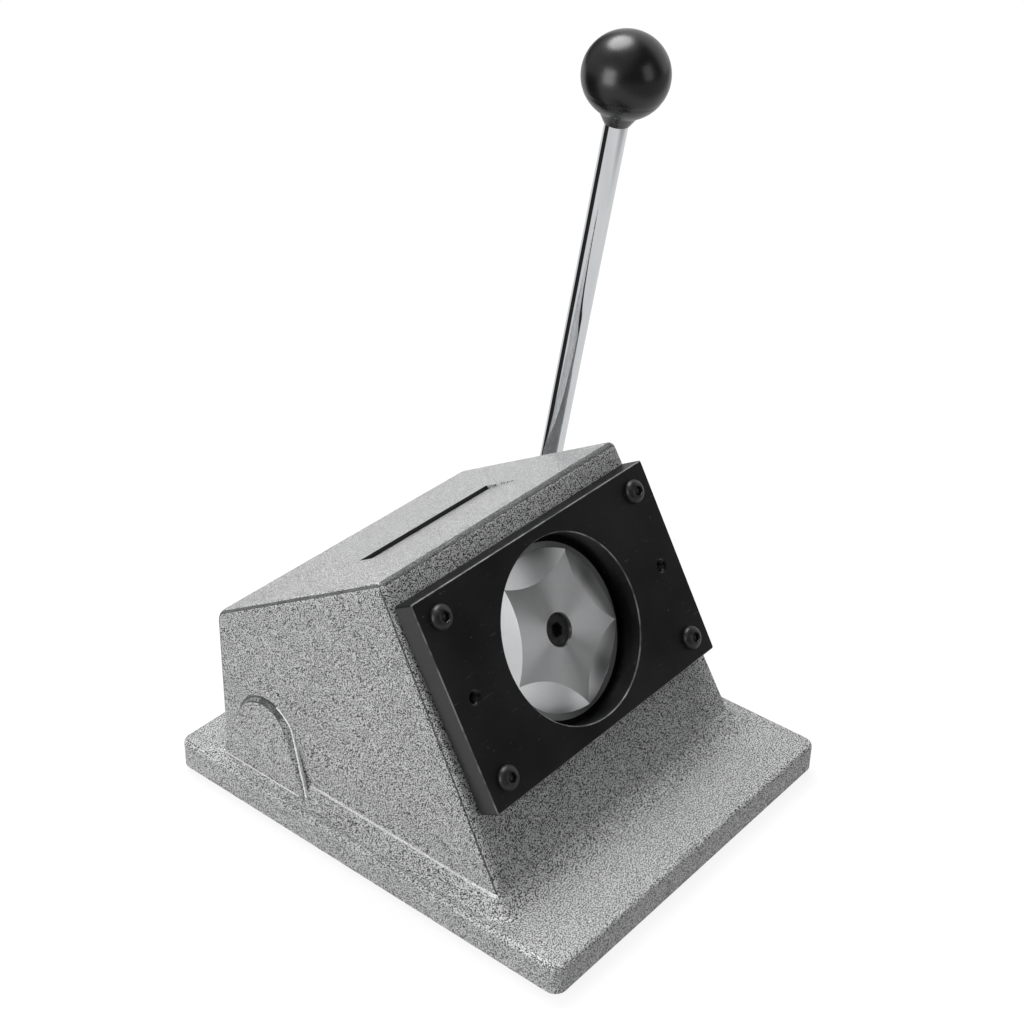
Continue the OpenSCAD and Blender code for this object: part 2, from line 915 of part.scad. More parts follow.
module lever_hub() {
    color("#8a8c8f")
        difference() {
            union() {
                on_shaft()
                    x_cylinder(hub_inner, hub_outer, hub_diameter / 2);
                on_lever()
                    cylinder(h = rod_start, r = rod_socket_radius);
            }
            on_shaft()
                x_cylinder(hub_inner - overrun, hub_outer + overrun, shaft_diameter / 2);
            on_lever()
                translate([0, 0, rod_start - rod_thread_length - overrun])
                    cylinder(h = rod_thread_length + 2 * overrun, r = rod_thread / 2);
            on_lever()
                mirror([0, 0, 1])
                    translate([0, 0, shaft_diameter / 2 - overrun])
                        cylinder(h = hub_diameter, r = hub_set_diameter / 2);
        }
}

module hub_screw() {
    color("#2b2b2d")
        on_lever()
            mirror([0, 0, 1])
                translate([0, 0, shaft_diameter / 2])
                    difference() {
                        cylinder(h = hub_set_length, r = hub_set_diameter / 2);
                        translate([0, 0, hub_set_length - hub_set_socket])
                            hex_socket(hub_set_diameter / 2, hub_set_length);
                    }
}

module hub_washer() {
    color("#b5b6b8")
        on_shaft()
            x_tube(hub_outer, hub_outer + hub_washer_thickness, hub_washer_radius, hub_bolt / 2 + screw_clearance);
}

module hub_end_screw() {
    color("#3a3a3c")
        on_shaft() {
            translate([hub_outer + hub_washer_thickness, 0, 0])
                rotate([0, 90, 0])
                    cylinder(h = hub_bolt_head_height, r = hub_bolt_head_width / sqrt(3), $fn = socket_facets);
            x_cylinder(shaft_right_end - hub_bolt_length, hub_outer + hub_washer_thickness, hub_bolt / 2);
        }
}

module lever_rod() {
    color("#d4d6d8")
        on_lever() {
            translate([0, 0, rod_start])
                cylinder(h = lever_length - knob_collar_start + rod_grip - rod_start, r = rod_diameter / 2);
            translate([0, 0, rod_start - rod_thread_length])
                cylinder(h = rod_thread_length, r = rod_thread / 2);
        }
}

module rod_nut() {
    color("#c9cbcd")
        on_lever()
            translate([0, 0, rod_start])
                difference() {
                    cylinder(h = rod_nut_height, r = rod_nut_width / sqrt(3), $fn = socket_facets);
                    translate([0, 0, -overrun])
                        cylinder(h = rod_nut_height + 2 * overrun, r = rod_diameter / 2);
                }
}

module ball_knob() {
    color("#111113")
        on_lever()
            translate([0, 0, lever_length])
                difference() {
                    union() {
                        sphere(r = knob_diameter / 2);
                        translate([0, 0, -knob_collar_start])
                            cylinder(h = knob_collar_start / 2, r1 = knob_collar_radius,
                                r2 = knob_collar_radius + knob_collar_length);
                    }
                    translate([0, 0, -knob_collar_start - overrun])
                        cylinder(h = insert_length + overrun, r = insert_radius);
                }
}

module knob_insert() {
    color("#b79a55")
        on_lever()
            translate([0, 0, lever_length - knob_collar_start])
                difference() {
                    cylinder(h = insert_length, r = insert_radius);
                    translate([0, 0, -overrun])
                        cylinder(h = rod_grip + overrun, r = rod_diameter / 2);
                }
}

// ---- underside ----

module bottom_cover() {
    color("#4a4b4d")
        difference() {
            translate([0, 0, flange_bottom])
                cover_block(0, cover_thickness);
            cover_screw_places() {
                translate([0, 0, -overrun])
                    cylinder(h = cover_thickness + 2 * overrun, r = cover_screw_diameter / 2 + screw_clearance);
                cylinder(h = cover_screw_sink, r1 = cover_screw_head / 2 + running_clearance,
                    r2 = cover_screw_diameter / 2 + running_clearance);
            }
        }
}

// Countersunk, so that the heads lie flush in the cover
module cover_screws() {
    color("#3a3a3c")
        cover_screw_places()
            difference() {
                union() {
                    cylinder(h = cover_screw_sink, r1 = cover_screw_head / 2, r2 = cover_screw_diameter / 2);
                    cylinder(h = cover_screw_length, r = cover_screw_diameter / 2);
                }
                translate([0, 0, -overrun])
                    hex_socket(cover_screw_diameter / 2, overrun + cover_screw_sink);
            }
}

module rubber_feet() {
    color("#1a1a1a")
        foot_places()
            translate([0, 0, -foot_height])
                difference() {
                    cylinder(h = foot_height, r = foot_diameter / 2);
                    translate([0, 0, -overrun])
                        cylinder(h = foot_height + 2 * overrun, r = foot_screw_diameter / 2 + screw_clearance);
                    translate([0, 0, -overrun])
                        cylinder(h = foot_recess + overrun, r = foot_screw_head / 2 + screw_clearance);
                }
}

module foot_screws() {
    color("#3a3a3c")
        foot_places()
            translate([0, 0, foot_recess - foot_height - foot_head_height]) {
                cylinder(h = foot_head_height, r = foot_screw_head / 2);
                cylinder(h = foot_screw_length, r = foot_screw_diameter / 2);
            }
}

body_casting();
base_flange();
die_plate();
plate_screws();
die_sleeve();
guide_sleeve();
sleeve_screws();
paper_stop();
punch_head();
punch_screw();
ram();
wrist_pin();
wrist_pin_clips();
link();
link_bushes();
crank_pin();
crank_web_left();
crank_web_right();
crank_keys();
pivot_shaft();
shaft_bush_left();
shaft_bush_right();
lever_hub();
hub_screw();
hub_washer();
hub_end_screw();
lever_rod();
rod_nut();
ball_knob();
knob_insert();
bottom_cover();
cover_screws();
rubber_feet();
foot_screws();
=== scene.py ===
"""Dresses a hand lever cutter for paper circles: cast body, die plate, punch, lever and studio."""
from functools import partial
from math import asin, atan, cos, hypot, pi, radians, sin, sqrt, tan
import bmesh
import bpy
from bpy.props import FloatProperty, FloatVectorProperty, IntProperty, PointerProperty
from bpy.types import Operator, Panel, PropertyGroup
from mathutils import Matrix, Vector


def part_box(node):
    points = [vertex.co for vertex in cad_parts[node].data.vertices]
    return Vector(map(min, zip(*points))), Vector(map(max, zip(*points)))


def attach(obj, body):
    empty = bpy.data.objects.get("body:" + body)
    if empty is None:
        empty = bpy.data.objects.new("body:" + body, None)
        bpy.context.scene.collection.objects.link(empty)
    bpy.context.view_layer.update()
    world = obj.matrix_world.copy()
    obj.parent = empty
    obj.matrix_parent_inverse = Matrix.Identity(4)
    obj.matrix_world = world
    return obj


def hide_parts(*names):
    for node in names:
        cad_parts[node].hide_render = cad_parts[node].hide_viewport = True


bl_info = {
    "name": "Paper Circle Cutter",
    "version": (1, 0, 0),
    "blender": (4, 5, 0),
    "location": "View3D > Sidebar > Cutter",
    "description": "Builds the visible pieces of a hand lever cutter for paper circles",
    "category": "Object",
}

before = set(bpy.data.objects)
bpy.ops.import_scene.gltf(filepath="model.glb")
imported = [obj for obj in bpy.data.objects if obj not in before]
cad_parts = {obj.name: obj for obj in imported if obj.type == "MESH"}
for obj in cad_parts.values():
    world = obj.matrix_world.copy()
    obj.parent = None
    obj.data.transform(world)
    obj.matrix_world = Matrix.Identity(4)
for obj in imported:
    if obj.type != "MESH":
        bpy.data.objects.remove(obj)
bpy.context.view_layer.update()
MM = 0.001
SMOOTH = {"interpolation_type": "SMOOTHSTEP"}
OVER = 1 * MM            # how far a cutter reaches past what it cuts
NEAR = 0.1 * MM          # how near counts as touching, when faces are picked for their paint
TURN = Matrix.Rotation(pi / 2, 4, "Y")    # lays a turned piece along x
TOP_ROUND = 8 * MM       # radius where the top meets the back wall
FILLET_SWEEP = 66        # degrees of the fillet's curve, which stops short of the wall
BOSS_DRAFT = 3.8 * MM    # how much wider the boss is at its root
BOSS_TIP = 0.9 * MM      # and at its tip, where its edge is rounded by as much
BOSS_LEAN = 0.1          # how much its face leans in over its height
TUBE_WALL = 9 * MM       # wall of the tube that carries the sleeves
FOOT_HIGHLIGHT_END = 80 * MM       # where the painted highlight line at the body's foot ends


def linear(hex_colour):
    """An sRGB hex value as the linear colour that shaders expect."""
    channels = [int(hex_colour[i:i + 2], 16) / 255 for i in (1, 3, 5)]
    return tuple(c / 12.92 if c <= 0.04045 else ((c + 0.055) / 1.055) ** 2.4 for c in channels)


def length(name, description, millimetres):
    """A size, given in millimetres, kept in metres and shown with its unit."""
    return FloatProperty(name=name, description=description, default=millimetres * MM,
                         unit="LENGTH", subtype="DISTANCE", precision=5)


def angle(name, description, degrees):
    """An angle, given in degrees."""
    return FloatProperty(name=name, description=description, default=radians(degrees),
                         subtype="ANGLE", unit="ROTATION")


def number(name, description, default):
    """A plain number."""
    return FloatProperty(name=name, description=description, default=default)


def colour(name, description, hex_colour):
    """A colour that a user may change."""
    return FloatVectorProperty(name=name, description=description, default=linear(hex_colour),
                               subtype="COLOR", size=3, min=0, max=1)


# ---- settings ----

class CUTTER_PG_casting(PropertyGroup):
    """Sizes and paint of the one-piece casting."""
    base_width: length("Base width", "Width of the base flange", 188)
    base_depth: length("Base depth", "Depth of the base flange", 218)
    flange_thickness: length("Flange thickness", "Thickness of the base flange", 14)
    flange_corner: length("Flange corner", "Corner radius of the flange in plan", 5.5)
    flange_edge: length("Flange edge", "Rounding of the flange's upper edge", 2.4)
    front_angle: angle("Front angle", "Angle of the front face above the horizontal", 60)
    front_setback: length("Front setback", "From the flange's front edge to the face", 37)
    back_setback: length("Back setback", "From the flange's back edge to the back wall", 17.5)
    face_length: length("Face length", "Length of the front face up its slope", 142.5)
    top_length: length("Top length", "Length of the top face", 108.6)
    foot_width: length("Foot width", "Width of the body at the flange", 165)
    front_width: length("Front width", "Width of the body at the top's front edge", 153)
    back_width: length("Back width", "Width of the body at the top's back edge", 161)
    wall: length("Wall", "Wall thickness", 6.5)
    edge: length("Edge", "Rounding of the body's outer edges", 3)
    fillet: length("Fillet", "Fillet between body and flange", 9)
    boss_stand: length("Boss stand", "How far the shaft's boss stands out of the wall's foot", 5)
    slot_width: length("Slot width", "Width of the paper slot", 82)
    slot_gap: length("Slot gap", "Opening of the paper slot", 1.1)
    slot_depth: length("Slot place", "From the front face back to the slot's far edge", 52)
    relief_length: length("Relief length", "Length of the sloped relief before the slot", 22)
    relief_depth: length("Relief depth", "Depth of the sloped relief at the slot", 1.8)
    speck: length("Speck size", "Size of one dark worm in the hammered paint", 0.3)
    paint_light: colour("Light paint", "Colour between the specks", "#c4c5c5")
    paint_dark: colour("Dark paint", "Colour of the specks", "#141516")


class CUTTER_PG_front(PropertyGroup):
    """Sizes and colours of the die plate, its screws, the punch and the die."""
    axis_height: length("Axis height", "From the flange up the face to the punch axis", 85.4)
    plate_width: length("Plate width", "Width of the die plate", 150)
    plate_height: length("Plate height", "Height of the die plate up the slope", 92)
    plate_thickness: length("Plate thickness", "Thickness of the die plate", 11.5)
    reveal: length("Reveal", "Dark shadow line between the plate and the casting", 1.1)
    plate_chamfer: length("Plate chamfer", "Chamfer on the plate's front edges", 0.45)
    opening: length("Opening", "Diameter of the exit opening", 81)
    screws_across: length("Screws across", "Spacing of the plate screws, side to side", 127)
    screws_up: length("Screws up", "Spacing of the plate screws up the slope", 71)
    tapped_across: length("Tapped holes", "Spacing of the two tapped holes", 126)
    tapped_depth: length("Tapped depth", "Depth of the tapped holes", 9)
    thread: length("Thread", "Thread diameter of the plate screws", 6)
    thread_pitch: length("Thread pitch", "Pitch of the tapped holes' thread", 1)
    head_radius: length("Head radius", "Radius of a plate screw's head", 5.4)
    head_height: length("Head height", "Height of a plate screw's head", 3.3)
    socket: length("Socket", "Width across the flats of the socket", 4)
    sleeve: length("Sleeve", "Outer diameter of the die sleeve", 86)
    guide_end: length("Guide end", "Distance of the guide sleeve's end behind the face", 84)
    turning_pitch: length("Turning pitch", "Spacing of the turning marks on the punch", 0.45)
    plate_colour: colour("Plate colour", "Colour of the blackened plate", "#060607")


class CUTTER_PG_lever(PropertyGroup):
    """Sizes and colours of the lever, its hub and the ball knob."""
    shaft_depth: length("Shaft depth", "Distance of the pivot shaft behind the front face", 106.5)
    shaft: length("Shaft", "Diameter of the pivot shaft", 16)
    plane: length("Lever plane", "Distance of the lever from the body's middle", 98.5)
    lean: angle("Lean", "Lean of the lever towards the front", 9.6)
    reach: length("Reach", "Distance of the knob's centre from the shaft", 263.8)
    rod: length("Rod", "Diameter of the lever bar", 10.5)
    knob: length("Knob", "Diameter of the ball knob", 38)
    collar_start: length("Collar start", "From the knob's centre to the collar's foot", 22)
    collar_radius: length("Collar radius", "Radius of the collar's foot", 5.9)
    seam: length("Seam", "Width of the moulding seam on the knob", 0.25)
    hub: length("Hub", "Diameter of the lever hub", 28)
    hub_width: length("Hub width", "Width of the lever hub", 20)
    hub_neck: length("Hub neck", "Radius of the hub's socket for the bar", 9)
    neck_end: length("Neck end", "From the shaft to the end of the socket", 21)
    knob_colour: colour("Knob colour", "Colour of the moulded ball", "#0b0b0c")


class CUTTER_PG_underside(PropertyGroup):
    """Sizes of the cover and the feet."""
    foot: length("Foot", "Diameter of a rubber foot", 20)
    foot_height: length("Foot height", "Height of a rubber foot", 2.5)
    foot_inset: length("Foot inset", "From the flange's edges to a foot's centre", 13)
    cover: length("Cover", "Thickness of the bottom cover", 2)
    border: length("Border", "How far the cover reaches over the flange", 9)
    cover_cut: length("Cover cut", "How much of the cover's corners is cut off", 12.5)
    screw: length("Cover screw", "Thread diameter of the cover screws", 4)
    screw_head: length("Screw head", "Diameter of the countersunk heads", 7.5)
    screw_sink: length("Screw sink", "Depth of the countersinks", 1.75)


class CUTTER_PG_studio(PropertyGroup):
    """Camera, lamps, floor and backdrop."""
    camera_place: FloatVectorProperty(
        name="Camera", description="Place of the camera", size=3, subtype="TRANSLATION",
        unit="LENGTH", default=(-0.51191, -0.42137, 0.54485))
    focal_pixels: number("Focal length", "Focal length in pixels of a 1024 pixel picture", 1863.1)
    centre_x: number("Centre across", "Column of 1024 that the camera points at", 502.3)
    centre_y: number("Centre down", "Row of 1024 that the camera points at", 464.0)
    top_power: number("Top lamp", "Power of the round softbox above", 25.0)
    left_power: number("Left lamp", "Power of the softbox on the left", 11.0)
    front_power: number("Front lamp", "Power of the softbox in front", 2.1)
    sky: number("Sky", "Strength of the light from above and behind", 0.6)
    gloom: number("Gloom", "Strength of the light from the dark front right", 0.08)
    sheet_end: length("Sheet end", "Where the white sheet ends in front, for gloss", 300)
    whiteness: number("Whiteness", "Share of plain white in the floor", 0.88)
    segments: IntProperty(name="Segments", description="Facets of a round piece", default=96)


def settings(name):
    """The scene's settings of one group."""
    return getattr(bpy.context.scene, "cutter_" + name)


# ---- places ----

def face_place(depth=0.0):
    """Matrix of a place on the punch axis: x to the right, y up the slope, z out of the face."""
    body = settings("casting")
    height = settings("front").axis_height
    y = -body.base_depth / 2 + body.front_setback + height * cos(body.front_angle)
    z = body.flange_thickness + height * sin(body.front_angle)
    return (Matrix.Translation((0, y, z)) @ Matrix.Rotation(body.front_angle, 4, "X")
            @ Matrix.Translation((0, 0, -depth)))


def shaft_place():
    """Matrix of the pivot shaft's middle, with the world's axes."""
    return Matrix.Translation(face_place(settings("lever").shaft_depth).translation)


def lever_place():
    """Matrix of the lever at the shaft: z runs up the bar."""
    lever = settings("lever")
    return (shaft_place() @ Matrix.Translation((lever.plane, 0, 0))
            @ Matrix.Rotation(lever.lean, 4, "X"))


# ---- mesh tools ----

def angles(*degrees):
    """Angles of a row in radians."""
    return [radians(value) for value in degrees]


def mesh_piece(name, bm, place=None):
    """Turns a bmesh into an object in the scene, moved to its place."""
    bmesh.ops.recalc_face_normals(bm, faces=bm.faces)
    if place is not None:
        bm.transform(place)
    piece = bpy.data.objects.new(name, bpy.data.meshes.new(name))
    bpy.context.scene.collection.objects.link(piece)
    bm.to_mesh(piece.data)
    bm.free()
    return piece


def take_mesh(piece):
    """Takes a piece out of the scene and gives its bmesh."""
    bm = bmesh.new()
    bm.from_mesh(piece.data)
    bpy.data.objects.remove(piece)
    return bm


def loft(loops, closed_ends=True):
    """A skin over loops of points that match one to one."""
    bm = bmesh.new()
    rings = [[bm.verts.new(point) for point in loop] for loop in loops]
    for below, above in zip(rings, rings[1:]):
        for i in range(len(below)):
            j = (i + 1) % len(below)
            bm.faces.new((below[i], below[j], above[j], above[i]))
    if closed_ends:
        bm.faces.new(rings[0][::-1])
        bm.faces.new(rings[-1])
    return bm


def lathe(profile, segments=None):
    """Turns (radius, height) points about z. A radius of zero closes the end."""
    count = segments or settings("studio").segments
    bm = bmesh.new()
    rings = []
    for radius, height in profile:
        if radius < 1e-7:
            rings.append([bm.verts.new((0, 0, height))] * count)
        else:
            rings.append([bm.verts.new((radius * cos(2 * pi * i / count),
                                        radius * sin(2 * pi * i / count), height))
                          for i in range(count)])
    for below, above in zip(rings, rings[1:]):
        for i in range(count):
            j = (i + 1) % count
            # at a closed end two corners are one, and the face is a triangle
            corners = [vert for vert, same in (
                (below[i], False), (below[j], below[i] is below[j]),
                (above[j], False), (above[i], above[i] is above[j])) if not same]
            if len(corners) > 2:
                bm.faces.new(corners)
    return bm


def cylinder(radius, start, end, segments=None):
    """A plain round bar along z."""
    return lathe([(0, start), (radius, start), (radius, end), (0, end)], segments)


def hexagon(corner, z):
    """Points of a hexagon at one height."""
    return [(corner * cos(a), corner * sin(a), z)
            for a in angles(*[60 * k for k in range(6)])]


def round_rectangle(x1, x2, y1, y2, corner, z, steps=8):
    """Points of a rectangle with round corners at one height."""
    points = []
    for cx, cy, start in ((x2 - corner, y2 - corner, 0), (x1 + corner, y2 - corner, 90),
                          (x1 + corner, y1 + corner, 180), (x2 - corner, y1 + corner, 270)):
        for i in range(steps + 1):
            a = radians(start + 90 * i / steps)
            points.append((cx + corner * cos(a), cy + corner * sin(a), z))
    return points


def block(lo, hi):
    """A plain box between two corners."""
    bm = bmesh.new()
    bmesh.ops.create_cube(bm, size=1)
    for vert in bm.verts:
        vert.co = [lo[i] + (vert.co[i] + 0.5) * (hi[i] - lo[i]) for i in range(3)]
    return bm


def prism(outline, start, end):
    """An outline in the y-z plane, stretched along x."""
    return loft([[(x, y, z) for y, z in outline] for x in (start, end)])


def settle(piece):
    """Makes the modifiers of a piece part of its mesh."""
    bpy.context.view_layer.update()
    graph = bpy.context.evaluated_depsgraph_get()
    mesh = bpy.data.meshes.new_from_object(piece.evaluated_get(graph))
    piece.modifiers.clear()
    piece.data = mesh


def combine(piece, bm, operation="DIFFERENCE", place=None):
    """Adds a tool shape to a piece, or cuts it away."""
    tool = mesh_piece("tool", bm, place)
    boolean = piece.modifiers.new("combine", "BOOLEAN")
    boolean.operation = operation
    boolean.solver = "EXACT"
    boolean.object = tool
    settle(piece)
    bpy.data.objects.remove(tool)
    if not piece.data.polygons:
        raise RuntimeError(piece.name + " came out empty")


def shade(piece, angle_limit):
    """Smooth shading with sharp edges above an angle, and flat faces kept flat."""
    for face in piece.data.polygons:
        face.use_smooth = True
    bm = bmesh.new()
    bm.from_mesh(piece.data)
    for edge in bm.edges:
        edge.smooth = (len(edge.link_faces) == 2
                       and edge.calc_face_angle(0) < radians(angle_limit))
    bm.to_mesh(piece.data)
    bm.free()
    weighted = piece.modifiers.new("weighted", "WEIGHTED_NORMAL")
    weighted.keep_sharp = True
    weighted.weight = 50
    settle(piece)


def finish_piece(piece, body, slot, materials, *replaced):
    """Gives a piece its materials, its body and the solid that it stands for."""
    piece.data.materials.clear()
    for material in materials:
        piece.data.materials.append(material)
    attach(piece, body)
    if replaced:
        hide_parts(*replaced)


def dress(material, *nodes):
    """Gives carried-over nodes their material."""
    for node in nodes:
        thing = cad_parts[node]
        if not thing.material_slots:
            thing.data.materials.append(material)
        for slot in thing.material_slots:
            slot.material = material


# ---- materials ----

def rgba(value):
    """A hex value or a colour, with full alpha."""
    return (*(linear(value) if isinstance(value, str) else value[:3]), 1.0)


def fill(node, values):
    """Fills the named sockets, or those in use in their order, with constants, colours or
    links. A node given as a value stands for its first output in use."""
    if isinstance(values, dict):
        pairs = [(node.inputs[key], value) for key, value in values.items()]
    else:
        pairs = zip([socket for socket in node.inputs if socket.enabled], values)
    for socket, value in pairs:
        if isinstance(value, bpy.types.Node):
            value = next(output for output in value.outputs if output.enabled)
        if isinstance(value, bpy.types.NodeSocket):
            node.id_data.links.new(value, socket)
        else:
            socket.default_value = rgba(value) if socket.type == "RGBA" else value


def add_node(tree, kind, values=(), **settings_of):
    """Adds a shader node, sets its properties and fills its sockets."""
    node = tree.nodes.new("ShaderNode" + kind)
    for key, value in settings_of.items():
        setattr(node, key, value)
    fill(node, values)
    return node


def scale(millimetres):
    """The noise scale that gives features of a size: they are 0.6 of 1 / scale across. In a
    noise's row it stands after the place, and before detail and roughness."""
    return 0.6 / (millimetres * MM)


def new_material(name):
    """A material with what adds its nodes, its shader and the object's own coordinates."""
    made = bpy.data.materials.get(name)
    if made:
        bpy.data.materials.remove(made)
    made = bpy.data.materials.new(name)
    made.use_nodes = True
    tree = made.node_tree
    tree.nodes.clear()
    add = partial(add_node, tree)
    shader = add("BsdfPrincipled")
    add("OutputMaterial", [shader])
    return made, add, shader, add("TexCoord").outputs["Object"]


def hammered_enamel(name, light, dark):
    """Hammered stove enamel on cast iron: sprayed thick, it draws into pale islands
    with dark worms between them, under a soft satin gloss."""
    made, add, shader, place = new_material(name)
    # one worm is about as wide as the speck size, 0.3 mm
    worms = add("TexNoise", {"Vector": place, "Scale": 0.62 / settings("casting").speck,
                             "Detail": 0.0, "Distortion": 0.5})
    # the density of the worms drifts over about 25 mm
    drift = add("TexNoise", [place, scale(25), 1.0, 0.5])
    lean = add("Math", [drift, 0.03, 0.465], operation="MULTIPLY_ADD")
    low = add("Math", [lean, 0.035], operation="SUBTRACT")
    high = add("Math", [lean, 0.035], operation="ADD")
    island = add("MapRange", [worms, low, high, 0.0, 1.0], **SMOOTH)
    tone = add("Mix", [island, dark, light], data_type="RGBA")
    # castings keep a gentle waviness under the paint, about 12 mm long
    wave = add("TexNoise", [place, scale(12), 1.0, 0.5])
    height = add("Math", [wave, 1.6, island], operation="MULTIPLY_ADD")
    bump = add("Bump", {"Strength": 0.8, "Distance": 0.13 * MM, "Height": height})
    rough = add("MapRange", [island, 0.0, 1.0, 0.4, 0.24])
    fill(shader, {"Base Color": tone, "Roughness": rough, "Normal": bump, "Metallic": 0.0,
                  "IOR": 1.5})
    return made


def blackened_plate(name, base, polish):
    """Ground steel with a black chemical finish: deep black with a satin sheen,
    fine handling scratches and a little dust."""
    made, add, shader, place = new_material(name)
    # scratches are hairlines of 0.1 mm, drawn 0.4 mm wide so that they show
    turned = add("Mapping", {"Vector": place, "Rotation": (0.7, 0.2, 0.5),
                             "Scale": (1.0, 18.0, 18.0)})
    lines = add("TexNoise", [turned, scale(9), 3.0, 0.65])
    scratch = add("MapRange", [lines, 0.66, 0.74, 0.0, 1.0], **SMOOTH)
    # dust specks of about 0.6 mm, a few to each square centimetre
    dust = add("TexNoise", [place, scale(0.6), 0.0])
    speck = add("MapRange", [dust, 0.80, 0.86, 0.0, 1.0], **SMOOTH)
    marks = add("Math", [scratch, speck], operation="MAXIMUM")
    share = add("Math", [marks, 0.35], operation="MULTIPLY")
    tone = add("Mix", [share, base, "#6c6d70"], data_type="RGBA")
    # handling leaves duller patches about 30 mm across
    patch = add("TexNoise", [place, scale(30), 3.0, 0.6])
    rough = add("MapRange", [patch, 0.3, 0.7, 0.26, 0.40])
    fine = add("TexNoise", [place, scale(0.7), 2.0])
    bump = add("Bump", {"Strength": 0.12, "Distance": 0.03 * MM, "Height": fine})
    fill(shader, {"Base Color": tone, "Roughness": rough, "Normal": bump,
                  "Specular IOR Level": polish})
    return made


def worn_edge():
    """The plate's chamfers, where handling polishes the black finish to a grey line."""
    made, add, shader, place = new_material("Worn black edge")
    # bare and black stretches alternate over about 6 mm
    wear = add("TexNoise", [place, scale(6), 3.0, 0.6])
    bare = add("MapRange", [wear, 0.35, 0.65, 0.1, 0.75], **SMOOTH)
    tone = add("Mix", [bare, "#303032", "#8c8d8f"], data_type="RGBA")
    fill(shader, {"Base Color": tone, "Metallic": 0.3, "Roughness": 0.32})
    return made


def black_oxide():
    """Hardened screws in black oxide: oily black with a dull sheen, rubbed at the rims."""
    made, add, shader, place = new_material("Black oxide steel")
    # rubbed spots about 1.5 mm across
    rub = add("TexNoise", [place, scale(1.5), 3.0, 0.6])
    tone = add("Mix", [rub, "#19191b", "#3d3c3c"], data_type="RGBA")
    rough = add("MapRange", [rub, 0.3, 0.7, 0.28, 0.45])
    fill(shader, {"Base Color": tone, "Roughness": rough, "Metallic": 0.6})
    return made


def turned_steel(name, light, dark, roughness, pitch, depth, strength, pull=0.8, land=None):
    """Turned or ground tool steel: rings about the punch axis that draw light into cones."""
    made, add, shader, place = new_material(name)
    # the axis leans with the face, so the place is turned back into the face's own plane
    back = face_place().inverted()
    local = add("Mapping", {"Vector": place, "Location": tuple(back.translation),
                            "Rotation": tuple(back.to_euler())}, vector_type="POINT")
    parts = add("SeparateXYZ", [local])
    flat = add("CombineXYZ", [parts.outputs[0], parts.outputs[1]])
    radius = add("VectorMath", [flat], operation="LENGTH")
    turns = add("Math", [radius, 1 / pitch], operation="MULTIPLY")
    # uneven rings: the radius stands in for time on the lathe, so no two rings are alike
    ring_place = add("CombineXYZ", [turns])
    rings = add("TexNoise", [ring_place, 1.0, 3.0, 0.7])
    # faint stains of about 8 mm
    stain = add("TexNoise", [place, scale(8), 3.0, 0.6])
    shades = add("Math", [rings, 0.55, 0.0], operation="MULTIPLY_ADD")
    both = add("Math", [stain, 0.45, shades], operation="MULTIPLY_ADD")
    tone = add("Mix", [both, dark, light], data_type="RGBA")
    if land:
        # only the cutting edge is ground bright, the rest keeps its black oxide
        beyond = add("MapRange", [radius, land, land + 0.15 * MM, 0.0, 1.0])
        tone = add("Mix", [beyond, tone, "#1d1d1f"], data_type="RGBA")
    bump = add("Bump", {"Strength": strength, "Distance": depth, "Height": rings})
    # the grooves run round the axis, so the gloss is stretched along the spokes
    middle = tuple(face_place().translation)
    spoke = add("VectorMath", [place, middle], operation="SUBTRACT")
    turned = add("VectorTransform", [spoke], vector_type="VECTOR",
                 convert_from="OBJECT", convert_to="WORLD")
    fill(shader, {"Base Color": tone, "Normal": bump, "Tangent": turned, "Metallic": 1.0,
                  "Roughness": roughness, "Anisotropic": pull})
    return made


def plain_metal(name, light, dark, roughness, grain, stretch=(1.0, 1.0, 1.0), metallic=1.0):
    """Machined or plated metal: a fine grain, in millimetres, varies its tone and gloss."""
    made, add, shader, place = new_material(name)
    pulled = add("Mapping", {"Vector": place, "Scale": stretch})
    noise = add("TexNoise", [pulled, scale(grain), 3.0, 0.6])
    tone = add("Mix", [noise, dark, light], data_type="RGBA")
    rough = add("MapRange", [noise, 0.25, 0.75, max(0.02, roughness * 0.8), roughness * 1.2])
    bump = add("Bump", {"Strength": min(1.0, roughness), "Distance": 0.01 * MM, "Height": noise})
    fill(shader, {"Base Color": tone, "Roughness": rough, "Normal": bump, "Metallic": metallic})
    return made


def moulded_phenolic():
    """Compression-moulded phenolic: deep black with a hard, clean gloss and faint flow."""
    made, add, shader, place = new_material("Moulded phenolic")
    base = settings("lever").knob_colour
    # flow marks about 5 mm long, and fine rub marks of 0.5 mm
    flow = add("TexNoise", [place, scale(5), 2.0])
    rub = add("TexNoise", [place, scale(0.5), 1.0])
    tone = add("Mix", [flow, base, [c * 1.7 for c in base]], data_type="RGBA")
    rough = add("MapRange", [flow, 0.3, 0.7, 0.24, 0.32])
    bump = add("Bump", {"Strength": 0.08, "Distance": 0.02 * MM, "Height": rub})
    fill(shader, {"Base Color": tone, "Roughness": rough, "Normal": bump, "IOR": 1.5})
    return made


def foot_rubber():
    """Moulded nitrile rubber: matt charcoal with a fine grain."""
    made, add, shader, place = new_material("Nitrile rubber")
    # mould grain of 0.4 mm
    grain = add("TexNoise", [place, scale(0.4), 2.0])
    tone = add("Mix", [grain, "#151515", "#2b2b2b"], data_type="RGBA")
    bump = add("Bump", {"Strength": 0.4, "Distance": 0.05 * MM, "Height": grain})
    fill(shader, {"Base Color": tone, "Normal": bump, "Roughness": 0.78})
    return made


# ---- pieces ----

